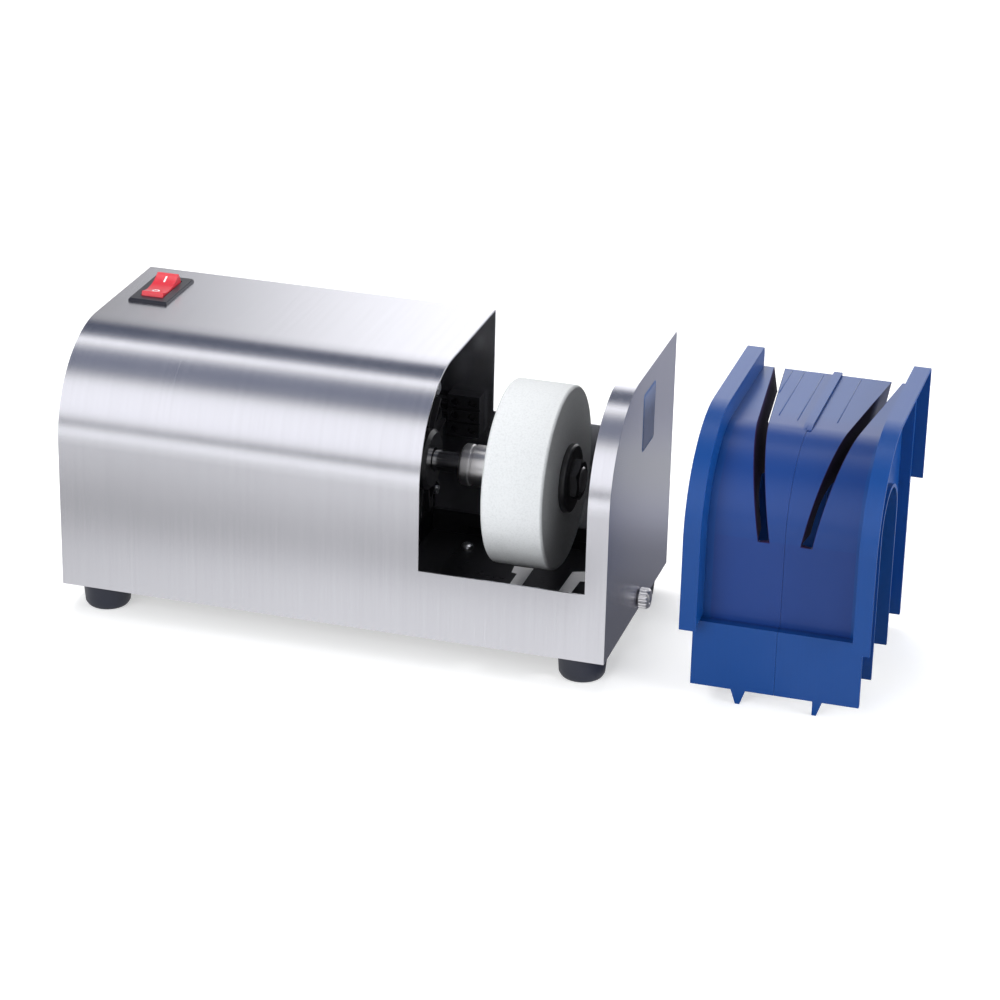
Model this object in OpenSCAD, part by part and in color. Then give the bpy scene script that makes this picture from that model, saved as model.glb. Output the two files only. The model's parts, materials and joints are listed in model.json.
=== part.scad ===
// Bench knife sharpener: a folded steel housing with an open wheel bay, a motor that turns
// a white grinding wheel, and a moulded two-slot knife guide that lifts out for washing.
// Units are millimetres. +X runs along the machine from the motor end to the guide,
// +Y runs from the front to the back and +Z is up. The machine and the guide both stand on z = 0.

/* [Housing] */
// Length of the housing
body_l = 330; // [322:1:380]
// Depth of the housing, front to back
body_d = 146; // [142:1:160]
// Height of the housing above its lower edge
body_h = 149.4; // [146:0.2:165]
// Radius of the large bend along the front
bend_r = 60; // [48:1:64]
// Radius of the fold along the back
fold_r = 2.4; // [2:0.1:4]
// Thickness of the housing sheet
sheet_t = 1.2; // [0.8:0.1:2]

/* [Bay] */
// Width of the open wheel bay
bay_w = 98; // [92:1:104]
// Width of the closed box right of the bay
end_box_w = 12.5; // [11:0.5:18]
// Height of the front lip above the housing's lower edge
lip_h = 41.4; // [30:0.2:50]
// Height of the back wall of the bay above the housing's lower edge
bay_back_h = 84; // [70:1:95]

/* [Feet] */
// Diameter of a rubber foot at its top
foot_d = 29; // [20:1:32]
// Height of the rubber feet
foot_h = 17; // [12:1:24]
// Distance of the left feet's centres from the housing's left end
foot_left = 21; // [18:1:30]
// Distance of the right feet's centres from the housing's right end
foot_right = 17; // [17:1:26]
// Distance of a foot's centre from the front or the back
foot_in_y = 17.5; // [17:0.5:24]

/* [Wheel and spindle] */
// Diameter of the grinding wheel
wheel_d = 108; // [90:1:112]
// Width of the grinding wheel
wheel_t = 36.4; // [26:0.2:42]
// How far the wheel sits from the bay's centre towards the motor
wheel_shift = 0.8; // [0:0.1:3]
// Bore of the grinding wheel
wheel_bore_d = 26; // [24:0.5:32]
// Distance of the spindle from the front of the housing
axis_y = 73; // [71:1:76]
// Height of the spindle above the housing's lower edge
axis_h = 79; // [74:1:84]
// Diameter of the motor shaft
shaft_d = 12; // [10:0.5:14]
// Diameter of the hub sleeve
hub_d = 24.5; // [20:0.5:28]
// Diameter of the arbor that carries the wheel
arbor_d = 16; // [14:0.5:18]
// Diameter of the wheel flanges
flange_d = 40.5; // [36:0.5:46]
// Thickness of a wheel flange
flange_t = 4; // [3:0.5:6]

/* [Motor] */
// Diameter of the motor
motor_d = 100; // [90:1:104]
// Length of the stack of laminations
stack_l = 56; // [44:1:60]
// Depth of an end bell
bell_l = 30; // [26:1:32]

/* [Base] */
// Thickness of the base pan
pan_t = 1.5; // [1:0.1:2.5]
// Height of the base pan's upturned edges
pan_rim_h = 14; // [12:1:18]
// Thickness of the bay tray
tray_t = 1; // [0.8:0.1:1.6]
// Height of the bay tray's edges
tray_rim_h = 5; // [3:0.5:8]

/* [Switch and cord outlet] */
// Length of the switch bezel, front to back
bezel_l = 44; // [40:1:48]
// Width of the switch bezel
bezel_w = 24.3; // [22:0.1:28]
// Width of the rocker
rocker_w = 13.6; // [12:0.1:15]
// Angle between the rocker's off and on positions
rocker_travel = 16; // [10:1:18]
// Bore of the cord bush
cord_bore_d = 8; // [6:0.5:9]

/* [Knife guide] */
// Width of the part of the guide that drops into the bay
plug_w = 96.4; // [90:0.2:97]
// How much less deep that part is than the housing
plug_short = 16.2; // [14:0.2:22]
// Height of the guide above its legs
guide_h = 153.4; // [150:0.2:158]
// How far the rims reach over the plug on each side
rim_over = 5.7; // [4:0.1:8]
// Width of a rim seen from the front
rim_w = 9.8; // [8.6:0.1:12]
// Thickness of the rim strip
rim_t = 1.8; // [1.5:0.1:3]
// Wall thickness of the moulding
wall_t = 2.5; // [2:0.1:3]
// Width of a knife slot
slot_w = 6.2; // [4:0.1:7]
// Lean of the knife slots from upright
slot_lean = 9.6; // [6:0.2:16]
// Angle at which the knife slots spread towards the back
slot_spread = 5.9; // [0:0.1:8]
// Distance of a slot's lower end from the centre of the guide
slot_foot_x = 12; // [10:0.5:16]
// Height of the slots' lower ends above the legs
slot_foot_z = 90; // [86:0.5:100]
// Depth of the ribs that stand out of the guide's sides
rib_out = 6.5; // [4:0.5:8]
// Length of the prongs under the guide
prong_l = 8.6; // [6:0.1:10]
// Gap between the machine's right end and the plug of the standing guide
guide_gap = 47.8; // [30:1:80]

/* [Clearances] */
// Radial clearance of a running fit
run_gap = 0.05; // [0.02:0.01:0.09]
// Clearance between parts that must not rub
free_gap = 0.5; // [0.4:0.05:1]
// Gap between the rims and the housing when the guide is fitted
seat_gap = 0.3; // [0.2:0.05:0.6]

/* [Hidden] */
$fn = 64;

eps = 0.01;

// Places along the machine
floor_z = foot_h;
top_z = foot_h + body_h;
bay_x0 = body_l - end_box_w - bay_w;
bay_x1 = bay_x0 + bay_w;
bay_cx = bay_x0 + bay_w / 2;
axis_z = foot_h + axis_h;

// Spindle stations, from the wheel back to the fan
wheel_x0 = bay_cx - wheel_shift - wheel_t / 2;
wheel_x1 = wheel_x0 + wheel_t;
flange_lip = 0.6;
inner_flange_x = wheel_x0 - flange_lip - flange_t;
outer_flange_x = wheel_x1 + flange_lip + flange_t;
hub_l = 21.5;
hub_x = inner_flange_x - hub_l;
nut_t = 4.5;
nut_af = 22;
arbor_end_x = outer_flange_x + nut_t + 0.8;
set_screw_turn = 205;
bare_shaft = 18;
shaft_in_hub = 20;
boss_len = 8;
boss_d = 36;
bell_x1 = hub_x - bare_shaft - boss_len;
stack_x1 = bell_x1 - bell_l;
stack_x0 = stack_x1 - stack_l;
bell_x0 = stack_x0 - bell_l;
fan_t = 12;
fan_x = bell_x0 - boss_len - 4 - fan_t;
shaft_x0 = fan_x - 3;
shaft_x1 = hub_x + shaft_in_hub;
bearing_d = 28;
bearing_w = 9;
bolt_angles = [45, 135, 225, 315];
bolt_r = motor_d / 2 - 5;
bell_wall = 4;
rotor_d = 52;
cradle_screw_in = 18;
cradle_screw_out = 33;

// Base, tray and cradle
pan_x0 = sheet_t;
pan_x1 = body_l - sheet_t;
pan_y0 = sheet_t;
pan_y1 = body_d - sheet_t;
pan_top = floor_z + pan_t;
tray_x0 = bay_x0 - 14;
tray_x1 = bay_x1 - free_gap;
tray_y0 = pan_y0 + pan_t + free_gap;
tray_y1 = pan_y1 - pan_t - free_gap;
tray_top = pan_top + tray_t;
bulk_t = 1.5;
bulk_x = bell_x1 - 16;
screw_d = 4;
screw_l = 6;
head_d = 8;
head_h = 2.6;
knob_d = 12.4;
knob_h = 6.6;
knob_y = 78;
knob_z = floor_z + 7.5;
bush_d = 9;
knob_gap = 0.3;

// Switch
switch_x = 10.5;
switch_y = 83.5;
bezel_h = 2;
can_w = bezel_w - 4;
can_l = bezel_l - 5;
can_h = 24;
rocker_r = 15.2;
rocker_gap = 0.4;
pivot_r = 1.5;
pivot_reach = 2;
switch_cx = switch_x + bezel_w / 2;
switch_cy = switch_y + bezel_l / 2;
pivot_z = top_z - 2.4;
rocker_belly = 7;
rocker_belly_gap = 2.6;

// Capacitor and cord outlet
cap_d = 30;
cap_l = 62;
cap_x = 28;
cap_y0 = 42;
cap_z = pan_top + 2 + cap_d / 2;
cord_x = 60;
cord_z = floor_z + 24;
cord_flange_d = 18;
cord_thread_d = 12;

// Terminal block and the leads that run to it along the back wall
block_size = [20, 9, 26];
block_place = [bulk_x + 12, body_d - sheet_t - block_size[1], axis_z - 10];
lead_d = 2.6;
lead_bend = 6;
lead_y = block_place[1] + 4;

// Guide, in its own place: x = 0 at the seam, y = 0 at the apron, z = 0 under the legs
plug_half = plug_w / 2;
plug_d = body_d - plug_short;
rim_x1 = plug_half + rim_over;
rim_x0 = rim_x1 - rim_w;
side_x1 = plug_half - rib_out;
side_x0 = side_x1 - wall_t;
rim_d = body_d + 2 * (seat_gap + rim_t);
rim_y0 = -10.3;
rim_y1 = rim_y0 + rim_d;
rim_r = bend_r + seat_gap + rim_t;
rim_front_z = 37.4;
rim_back_z = 84.3;
saddle_y0 = 6.3;
saddle_drop = 12.2;
saddle_z1 = guide_h - saddle_drop;
saddle_r = 50;
ledge_z = 39.6;
arch_y0 = 37;
arch_y1 = 86.5;
arch_wall = 2;
arch_r = (arch_y1 - arch_y0) / 2;
arch_cy = (arch_y0 + arch_y1) / 2;
arch_cz = 84.6;
side_foot_z = 10;
back_wall_h = 86;
seam = 0.08;
ridge_w = 5;
ridge_h = 1.7;
lap_w = 7;
lap_t = 1.6;
slot_fin_t = 1.5;
slot_fin_h = 14;
slot_fin_start = 30;
boss_r = 4.5;
guide_boss = [[7.5, 12], [plug_d - 7.8, 30]];
guide_screw_d = 2.6;
guide_screw_l = 17.1;
guide_x = body_l + guide_gap + plug_half;
guide_y = 0.4 - rim_y0;

// Where the fitted guide lies over the housing, and how far its slots have to reach
seat_y = rim_y0 + rim_t + seat_gap;
seat_z = top_z + seat_gap + rim_t - guide_h;
slot_reach = rim_d + guide_h;

// The origin is under the middle of the row
origin_x = (guide_x + rim_x1) / 2;
origin_y = (guide_y + rim_y1) / 2;

// ---------- shared shapes ----------

// Moves the whole row so that the origin lies under its middle
module placed() {
    translate([-origin_x, -origin_y, 0]) children();
}

// Extrudes an outline drawn in (y, z) along X, from x0 to x1
module along_x(x0, x1) {
    translate([x0, 0, 0]) rotate([90, 0, 90]) linear_extrude(x1 - x0) children();
}

// Cylinder along X
module rod_x(x0, x1, d, y = axis_y, z = axis_z) {
    translate([x0, y, z]) rotate([0, 90, 0]) cylinder(h = x1 - x0, d = d);
}

// Box given by its two corners
module box(a, b) {
    translate(a) cube([b[0] - a[0], b[1] - a[1], b[2] - a[2]]);
}

// Side outline with a large bend at the front and a small one at the back
module bent_side(y0, y1, z0, z1, r_front, r_back) {
    translate([y0, z0]) square([y1 - y0, z1 - r_front - z0]);
    translate([y0 + r_front, z0]) square([y1 - r_back - y0 - r_front, z1 - z0]);
    translate([y1 - r_back - eps, z0]) square([r_back + eps, z1 - r_back - z0]);
    translate([y0 + r_front, z1 - r_front]) circle(r = r_front, $fn = 128);
    translate([y1 - r_back, z1 - r_back]) circle(r = r_back);
}

// Side outline of the housing, moved inwards by a distance
module housing_side(inset = 0, z0 = floor_z) {
    bent_side(inset, body_d - inset, z0, top_z - inset, bend_r - inset, fold_r - inset);
}

// Pan-head screw that points along -Z, head on z = 0
module pan_screw(d, l, hd = head_d, hh = head_h) {
    rotate_extrude() polygon([
        [0, hh], [hd * 0.3, hh], [hd * 0.45, hh * 0.7], [hd / 2, hh * 0.25], [hd / 2, 0],
        [d / 2, 0], [d / 2, -l], [0, -l]
    ]);
}

// Countersunk screw that points along +X, its head flush with x = 0, grown all over by g
module sunk_screw(g) {
    rotate([0, 90, 0]) rotate_extrude() polygon([
        [0, -g], [head_d / 2 + g, -g], [head_d / 2 + g, 0.3], [screw_d / 2 + g, 2.3 + g],
        [screw_d / 2 + g, 9 + g], [0, 9 + g]
    ]);
}

function foot_places() = [
    for (x = [foot_left, body_l - foot_right]) for (y = [foot_in_y, body_d - foot_in_y]) [x, y]
];

// ---------- housing and base ----------

// Centres of the pan screws that hold the tray to the base pan
function tray_screw_places() = [
    for (x = [tray_x0 + 6]) for (y = [foot_in_y + 6, body_d - foot_in_y - 6]) [x, y]
];

// Centres of the screws in the left end, as (y, z)
function cover_screw_places() = [for (y = [foot_in_y + 10, body_d - foot_in_y - 10]) [y, floor_z + 8]];

// Folded sheet, open below, from x0 to x1
module folded_sheet(x0, x1) {
    along_x(x0, x1) difference() {
        housing_side();
        housing_side(sheet_t, floor_z - 1);
    }
}

// The folded sheet is one piece on the real machine. Here it is four that meet edge to edge
module housing_wrap() {
    color("lightgray") placed() difference() {
        folded_sheet(0, bay_x0);
        box([switch_cx - can_w / 2 - seat_gap, switch_cy - can_l / 2 - seat_gap, top_z - 5],
            [switch_cx + can_w / 2 + seat_gap, switch_cy + can_l / 2 + seat_gap, top_z + 1]);
        translate([cord_x, body_d - 5, cord_z]) rotate([-90, 0, 0])
            cylinder(h = 10, d = cord_thread_d + 0.4);
    }
}

module bay_lip() {
    color("lightgray") placed() box([bay_x0, 0, floor_z], [bay_x1, sheet_t, floor_z + lip_h]);
}

module bay_back_wall() {
    color("lightgray") placed()
        box([bay_x0, body_d - sheet_t, floor_z], [bay_x1, body_d, floor_z + bay_back_h]);
}

module end_box_wrap() {
    color("lightgray") placed() folded_sheet(bay_x1, body_l);
}

module end_outline(x0, x1) {
    along_x(x0, x1) housing_side(sheet_t);
}

module left_end_plate() {
    color("lightgray") placed() difference() {
        end_outline(0, sheet_t);
        for (p = cover_screw_places()) translate([0, p[0], p[1]]) sunk_screw(0.1);
    }
}

module right_end_plate() {
    color("lightgray") placed() difference() {
        end_outline(body_l - sheet_t, body_l);
        rod_x(body_l - sheet_t - 1, body_l + 1, 6, knob_y, knob_z);
    }
}

module bay_right_wall() {
    color("gray") placed() difference() {
        end_outline(bay_x1, bay_x1 + sheet_t);
        box([bay_x1 - 1, 0, 0], [bay_x1 + sheet_t + 1, body_d, pan_top + pan_rim_h + free_gap]);
    }
}

module motor_bulkhead() {
    color([0.08, 0.08, 0.09]) placed() {
        difference() {
            along_x(bulk_x, bulk_x + bulk_t) difference() {
                bent_side(
                    sheet_t + pan_t + free_gap, body_d - sheet_t - pan_t - free_gap, pan_top,
                    top_z - sheet_t - free_gap, bend_r - sheet_t - free_gap, 2
                );
                translate([axis_y, axis_z]) circle(d = motor_d + 3);
                // Vent slots under the motor and the notch for the leads
                for (k = [-2:2]) translate([axis_y + 16 * k - 4, pan_top + 12]) square([8, 9]);
                translate([lead_y - 3, block_place[2] + 9]) square([20, 18]);
            }
        }
        box([bulk_x - 14, 30, pan_top], [bulk_x, body_d - 30, pan_top + bulk_t]);
    }
}

module base_pan() {
    color("dimgray") placed() difference() {
        union() {
            box([pan_x0, pan_y0, floor_z], [pan_x1, pan_y1, pan_top]);
            for (y = [pan_y0, pan_y1 - pan_t])
                box([pan_x0, y, floor_z], [pan_x1, y + pan_t, pan_top + pan_rim_h]);
            for (x = [pan_x0, pan_x1 - pan_t])
                box([x, pan_y0, floor_z], [x + pan_t, pan_y1, pan_top + pan_rim_h]);
        }
        for (p = foot_places()) translate([p[0], p[1], 0]) cylinder(h = 60, d = screw_d + 0.4);
        for (p = tray_screw_places()) translate([p[0], p[1], 0]) cylinder(h = 60, d = screw_d);
        for (p = cradle_screw_places()) translate([p[0], p[1], 0]) cylinder(h = 60, d = screw_d);
        for (p = cover_screw_places()) translate([0, p[0], p[1]]) sunk_screw(0.1);
        rod_x(body_l - 10, body_l, bush_d - 2, knob_y, knob_z);
        prong_slots(floor_z - 1, pan_top + 1);
        // Air slots under the motor
        for (k = [0:5]) box([stack_x0 + 12 * k - 4, axis_y - 20, 0], [stack_x0 + 12 * k, axis_y + 20, 40]);
    }
}

// Slots that the prongs of the guide drop into
module prong_slots(z0, z1) {
    for (x = prong_xs()) for (y = [0, plug_d - wall_t])
        box([bay_cx + x - 6, y - seat_y - 1.5, z0], [bay_cx + x + 6, y - seat_y + wall_t + 1.5, z1]);
}

module bay_tray() {
    color([0.1, 0.1, 0.11]) placed() difference() {
        union() {
            box([tray_x0, tray_y0, pan_top], [tray_x1, tray_y1, tray_top]);
            for (y = [tray_y0, tray_y1 - tray_t])
                box([tray_x0, y, pan_top], [tray_x1, y + tray_t, tray_top + tray_rim_h]);
        }
        for (p = tray_screw_places()) translate([p[0], p[1], 0]) cylinder(h = 60, d = screw_d + 0.4);
        for (p = foot_places()) translate([p[0], p[1], pan_top - 1]) cylinder(h = 20, d = head_d + 4);
        prong_slots(pan_top - 1, tray_top + 1);
    }
}

module tray_screws() {
    color("silver") placed() for (p = tray_screw_places())
        translate([p[0], p[1], tray_top]) pan_screw(screw_d - 0.1, screw_l);
}

module rubber_feet() {
    color([0.06, 0.06, 0.08]) placed() for (p = foot_places()) translate([p[0], p[1], 0])
        rotate_extrude($fn = 96) polygon([
            [4.6, 0], [foot_d / 2 - 4.6, 0], [foot_d / 2 - 2.4, 0.9], [foot_d / 2 - 1.1, 3.2],
            [foot_d / 2, foot_h - 0.8], [foot_d / 2 - 0.8, foot_h], [screw_d / 2 + 0.2, foot_h],
            [screw_d / 2 + 0.2, 5], [4.6, 5]
        ]);
}

module foot_screws() {
    color("silver") placed() for (p = foot_places()) translate([p[0], p[1], 5])
        mirror([0, 0, 1]) pan_screw(screw_d, foot_h + pan_t + 1, 8.6, 2.6);
}

module foot_nuts() {
    color("silver") placed() for (p = foot_places()) translate([p[0], p[1], pan_top])
        difference() {
            cylinder(h = 3.2, d = 8, $fn = 6);
            translate([0, 0, -1]) cylinder(h = 6, d = screw_d + 0.02);
        }
}

module cover_screws() {
    color("silver") placed() for (p = cover_screw_places())
        translate([0, p[0], p[1]]) sunk_screw(0);
}

module thumbscrew() {
    groove_r = 0.7;
    color([0.07, 0.07, 0.08]) placed() translate([body_l + knob_gap, knob_y, knob_z])
        rotate([0, 90, 0]) difference() {
            union() {
                rotate_extrude() polygon([
                    [0, 0], [knob_d / 2 - 1, 0], [knob_d / 2, 0.8], [knob_d / 2, knob_h - 1.4],
                    [knob_d / 2 - 1.2, knob_h], [knob_d / 2 - 3, knob_h], [knob_d / 2 - 3.4, knob_h - 0.8],
                    [0, knob_h - 0.8]
                ]);
                translate([0, 0, -12]) cylinder(h = 12.5, d = 5);
            }
            for (k = [0:17]) rotate([0, 0, k * 20]) translate([knob_d / 2 + 0.15, 0, 0.9])
                cylinder(h = knob_h, r = groove_r, $fn = 16);
        }
}

module thumbscrew_bush() {
    color("silver") placed() difference() {
        union() {
            rod_x(pan_x1 - pan_t - 7, pan_x1 - pan_t, bush_d + 1, knob_y, knob_z);
            rod_x(pan_x1 - pan_t - 1, pan_x1, bush_d - 2.2, knob_y, knob_z);
        }
        rod_x(pan_x1 - 30, pan_x1 + 5, 5 + 2 * run_gap, knob_y, knob_z);
    }
}

// ---------- motor ----------

module stator_stack() {
    color([0.35, 0.34, 0.36]) placed() difference() {
        rod_x(stack_x0, stack_x1, motor_d);
        rod_x(stack_x0 - 1, stack_x1 + 1, rotor_d + 1);
        // Four grooves for the through bolts and shallow rings between groups of laminations
        for (a = bolt_angles) bolt_place(a) rod_x(stack_x0 - 1, stack_x1 + 1, 5.4, 0, 0);
        for (k = [1:6]) along_x(stack_x0 + k * stack_l / 7, stack_x0 + k * stack_l / 7 + 0.8)
            translate([axis_y, axis_z]) difference() {
                circle(d = motor_d + 2, $fn = 96);
                circle(d = motor_d - 1.2, $fn = 96);
            }
    }
}

// Puts a shape drawn round the origin's X line at one of the through bolts
module bolt_place(a) {
    translate([0, axis_y + bolt_r * cos(a), axis_z + bolt_r * sin(a)]) children();
}

module stator_windings() {
    color([0.62, 0.32, 0.14]) placed() for (x = [stack_x0 - 11, stack_x1]) translate([x, axis_y, axis_z])
        rotate([0, 90, 0]) rotate_extrude() translate([rotor_d / 2 + 3, 0]) union() {
            square([9, 11]);
            translate([1.5, 0]) square([9, 9]);
        }
}

// End bell: a domed cup with a rim, vent openings, cast ribs and a bearing boss
module end_bell() {
    r = motor_d / 2;
    difference() {
        union() {
            rotate_extrude($fn = 96) polygon([
                [r - bell_wall, 0], [r, 0], [r, bell_l - 10], [r - 3, bell_l - 4], [r - 9, bell_l],
                [boss_d / 2, bell_l], [boss_d / 2, bell_l + boss_len - 2], [boss_d / 2 - 2, bell_l + boss_len],
                [shaft_d / 2 + 1.5, bell_l + boss_len], [shaft_d / 2 + 1.5, bell_l + boss_len - 2],
                [bearing_d / 2, bell_l + boss_len - 2], [bearing_d / 2, bell_l + boss_len - 2 - bearing_w],
                [bearing_d / 2 - 2, bell_l + boss_len - 2 - bearing_w - 1.5],
                [bearing_d / 2 + 3, bell_l - bell_wall], [r - 11, bell_l - bell_wall],
                [r - bell_wall, bell_l - 12]
            ]);
            for (k = [0:11]) rotate([0, 0, 15 + 30 * k]) translate([boss_d / 2 - 1, -1, bell_l - 1])
                cube([r - 9 - boss_d / 2 - 1, 2, 4]);
            for (a = bolt_angles) rotate([0, 0, a]) translate([bolt_r, 0, 0]) cylinder(h = bell_l - 3, d = 9);
        }
        for (a = bolt_angles) rotate([0, 0, a]) translate([bolt_r, 0, 0]) {
            translate([0, 0, -1]) cylinder(h = 60, d = 4.4);
            translate([0, 0, bell_l - 3]) cylinder(h = 60, d = 9.4);
        }
        for (k = [0:7]) rotate([0, 0, 22.5 + 45 * k]) translate([0, 0, bell_l - 7])
            rotate_extrude(angle = 20) translate([boss_d / 2 + 5, 0]) square([r - 15 - boss_d / 2, 8]);
    }
}

module front_bell() {
    color([0.12, 0.12, 0.13]) placed() translate([stack_x1, axis_y, axis_z]) rotate([0, 90, 0]) end_bell();
}

module rear_bell() {
    color([0.12, 0.12, 0.13]) placed() translate([stack_x0, axis_y, axis_z]) rotate([0, -90, 0]) end_bell();
}

module through_bolts() {
    color("silver") placed() for (a = bolt_angles) bolt_place(a) {
        rod_x(bell_x0 - 1, bell_x1 + 1, 4, 0, 0);
        translate([bell_x1 - 3, 0, 0]) rotate([0, 90, 0]) cylinder(h = 3.2, d = 8);
        translate([bell_x0 + 3 - 3.2, 0, 0]) rotate([0, 90, 0]) cylinder(h = 3.2, d = 8, $fn = 6);
    }
}

// Centres of the screws that hold the cradle to the base pan
function cradle_screw_places() = [
    for (x = [stack_x0 + cradle_screw_in, stack_x1 - cradle_screw_in])
        for (y = [axis_y - cradle_screw_out, axis_y + cradle_screw_out]) [x, y]
];

module motor_cradle() {
    saddle_w = 8;
    color("dimgray") placed() difference() {
        union() {
            for (x = [stack_x0 + 4, stack_x1 - 4 - saddle_w]) along_x(x, x + saddle_w) difference() {
                polygon([
                    [axis_y - 42, pan_top], [axis_y + 42, pan_top], [axis_y + 42, pan_top + 3],
                    [axis_y + 34, axis_z - 28], [axis_y - 34, axis_z - 28], [axis_y - 42, pan_top + 3]
                ]);
                translate([axis_y, axis_z]) circle(d = motor_d + 0.6);
                translate([axis_y - 16, pan_top + 3]) square([32, axis_z - motor_d / 2 - pan_top - 6]);
            }
            for (y = [axis_y - 42, axis_y + 24])
                box([stack_x0 + 4, y, pan_top], [stack_x1 - 4, y + 18, pan_top + 2]);
        }
        for (p = cradle_screw_places()) translate([p[0], p[1], 0]) cylinder(h = 60, d = screw_d + 0.4);
    }
}

module cradle_screws() {
    color("silver") placed() for (p = cradle_screw_places())
        translate([p[0], p[1], pan_top + 2]) pan_screw(screw_d - 0.1, screw_l);
}

// Ball bearing along X from x0, with a shield recess on each side
module bearing(x0) {
    r_in = shaft_d / 2 + run_gap;
    r_out = bearing_d / 2 - 0.02;
    r_a = r_in + 1.8;
    r_b = r_out - 2;
    translate([x0, axis_y, axis_z]) rotate([0, 90, 0]) rotate_extrude() polygon([
        [r_in, 0], [r_a, 0], [r_a, 0.6], [r_b, 0.6], [r_b, 0], [r_out, 0],
        [r_out, bearing_w], [r_b, bearing_w], [r_b, bearing_w - 0.6], [r_a, bearing_w - 0.6],
        [r_a, bearing_w], [r_in, bearing_w]
    ]);
}

module front_bearing() {
    color("silver") placed() bearing(bell_x1 + boss_len - 2 - bearing_w);
}

module rear_bearing() {
    color("silver") placed() bearing(bell_x0 - boss_len + 2);
}

// ---------- spindle ----------

module motor_shaft() {
    color("silver") placed() translate([shaft_x0, axis_y, axis_z]) rotate([0, 90, 0])
        rotate_extrude() polygon([
            [0, 0], [shaft_d / 2 - 0.8, 0], [shaft_d / 2, 0.8], [shaft_d / 2, shaft_x1 - shaft_x0 - 0.8],
            [shaft_d / 2 - 0.8, shaft_x1 - shaft_x0], [0, shaft_x1 - shaft_x0]
        ]);
}

module rotor_core() {
    ring_t = 5;
    color([0.55, 0.55, 0.57]) placed() difference() {
        union() {
            rod_x(stack_x0, stack_x1, rotor_d);
            for (x = [stack_x0 - ring_t, stack_x1]) rod_x(x, x + ring_t, rotor_d - 3);
        }
        rod_x(stack_x0 - 10, stack_x1 + 10, shaft_d + 0.02);
    }
}

module cooling_fan() {
    blades = 8;
    fan_d = motor_d - 20;
    color([0.1, 0.1, 0.11]) placed() translate([fan_x, axis_y, axis_z]) rotate([0, 90, 0]) difference() {
        union() {
            cylinder(h = fan_t, d = 22);
            cylinder(h = 1.6, d = fan_d);
            for (k = [0:blades - 1]) rotate([0, 0, k * 360 / blades])
                translate([10, -0.8, 0]) cube([fan_d / 2 - 11, 1.6, fan_t]);
        }
        translate([0, 0, -1]) cylinder(h = fan_t + 2, d = shaft_d + 0.02);
    }
}

// Sleeve that slides over the motor shaft and steps down to the arbor that carries the wheel
module hub_sleeve() {
    l_hub = inner_flange_x - hub_x;
    l_all = arbor_end_x - hub_x;
    color("silver") placed() difference() {
        translate([hub_x, axis_y, axis_z]) rotate([0, 90, 0]) rotate_extrude() polygon([
            [shaft_d / 2 + 0.01, 0], [hub_d / 2 - 1, 0], [hub_d / 2, 1], [hub_d / 2, 5.2],
            [hub_d / 2 - 0.7, 5.8], [hub_d / 2 - 0.7, 7], [hub_d / 2, 7.6], [hub_d / 2, l_hub],
            [arbor_d / 2, l_hub], [arbor_d / 2, l_all - 1.2], [arbor_d / 2 - 1.2, l_all],
            [0, l_all], [0, shaft_in_hub + 0.5], [shaft_d / 2 + 0.01, shaft_in_hub + 0.5]
        ]);
        translate([hub_x + 14, axis_y, axis_z]) rotate([set_screw_turn, 0, 0]) cylinder(h = 30, d = 6);
    }
}

module sleeve_set_screw() {
    color([0.2, 0.2, 0.22]) placed() translate([hub_x + 14, axis_y, axis_z]) rotate([set_screw_turn, 0, 0])
        translate([0, 0, shaft_d / 2 + 0.1]) difference() {
            cylinder(h = hub_d / 2 - shaft_d / 2 - 0.6, d = 5.9);
            translate([0, 0, 2]) cylinder(h = 6, d = 3.2, $fn = 6);
        }
}

// Dished wheel flange along X: flat rim towards the wheel, raised boss on the other side
module wheel_flange() {
    rotate([0, 90, 0]) rotate_extrude($fn = 96) polygon([
        [arbor_d / 2 + 0.05, 0], [flange_d / 2 - 6, 0], [flange_d / 2 - 5.4, -flange_lip],
        [flange_d / 2 - 0.6, -flange_lip],
        [flange_d / 2, 0], [flange_d / 2, flange_t - 1.4], [flange_d / 2 - 1, flange_t - 0.4],
        [flange_d / 2 - 5, flange_t - 0.4], [flange_d / 2 - 5.8, flange_t], [arbor_d / 2 + 0.05, flange_t]
    ]);
}

module inner_flange() {
    color([0.1, 0.1, 0.11]) placed() translate([wheel_x0 - flange_lip, axis_y, axis_z])
        mirror([1, 0, 0]) wheel_flange();
}

module grinding_wheel() {
    color([0.93, 0.93, 0.92]) placed() translate([wheel_x0, axis_y, axis_z]) rotate([0, 90, 0])
        rotate_extrude($fn = 128) polygon([
            [wheel_bore_d / 2, 0], [wheel_d / 2 - 1.2, 0], [wheel_d / 2, 1.2], [wheel_d / 2, wheel_t - 1.2],
            [wheel_d / 2 - 1.2, wheel_t], [wheel_bore_d / 2, wheel_t]
        ]);
}

module wheel_bush() {
    color([0.75, 0.76, 0.78]) placed() difference() {
        rod_x(wheel_x0 + 0.4, wheel_x1 - 0.4, wheel_bore_d - 0.04);
        rod_x(wheel_x0 - 1, wheel_x1 + 1, arbor_d + 0.06);
    }
}

module outer_flange() {
    color([0.1, 0.1, 0.11]) placed() translate([wheel_x1 + flange_lip, axis_y, axis_z]) wheel_flange();
}

module spindle_nut() {
    color([0.16, 0.16, 0.17]) placed() translate([outer_flange_x, axis_y, axis_z])
        rotate([0, 90, 0]) difference() {
            intersection() {
                cylinder(h = nut_t, d = nut_af / cos(30), $fn = 6);
                rotate_extrude() polygon([
                    [0, 0], [nut_af / 2 + 2, 0], [nut_af / 2 + 2, nut_t - 1.4], [nut_af / 2 - 0.4, nut_t], [0, nut_t]
                ]);
            }
            translate([0, 0, -1]) cylinder(h = nut_t + 2, d = arbor_d + 0.04);
        }
}

// ---------- wiring, switch and cord outlet ----------

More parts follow.
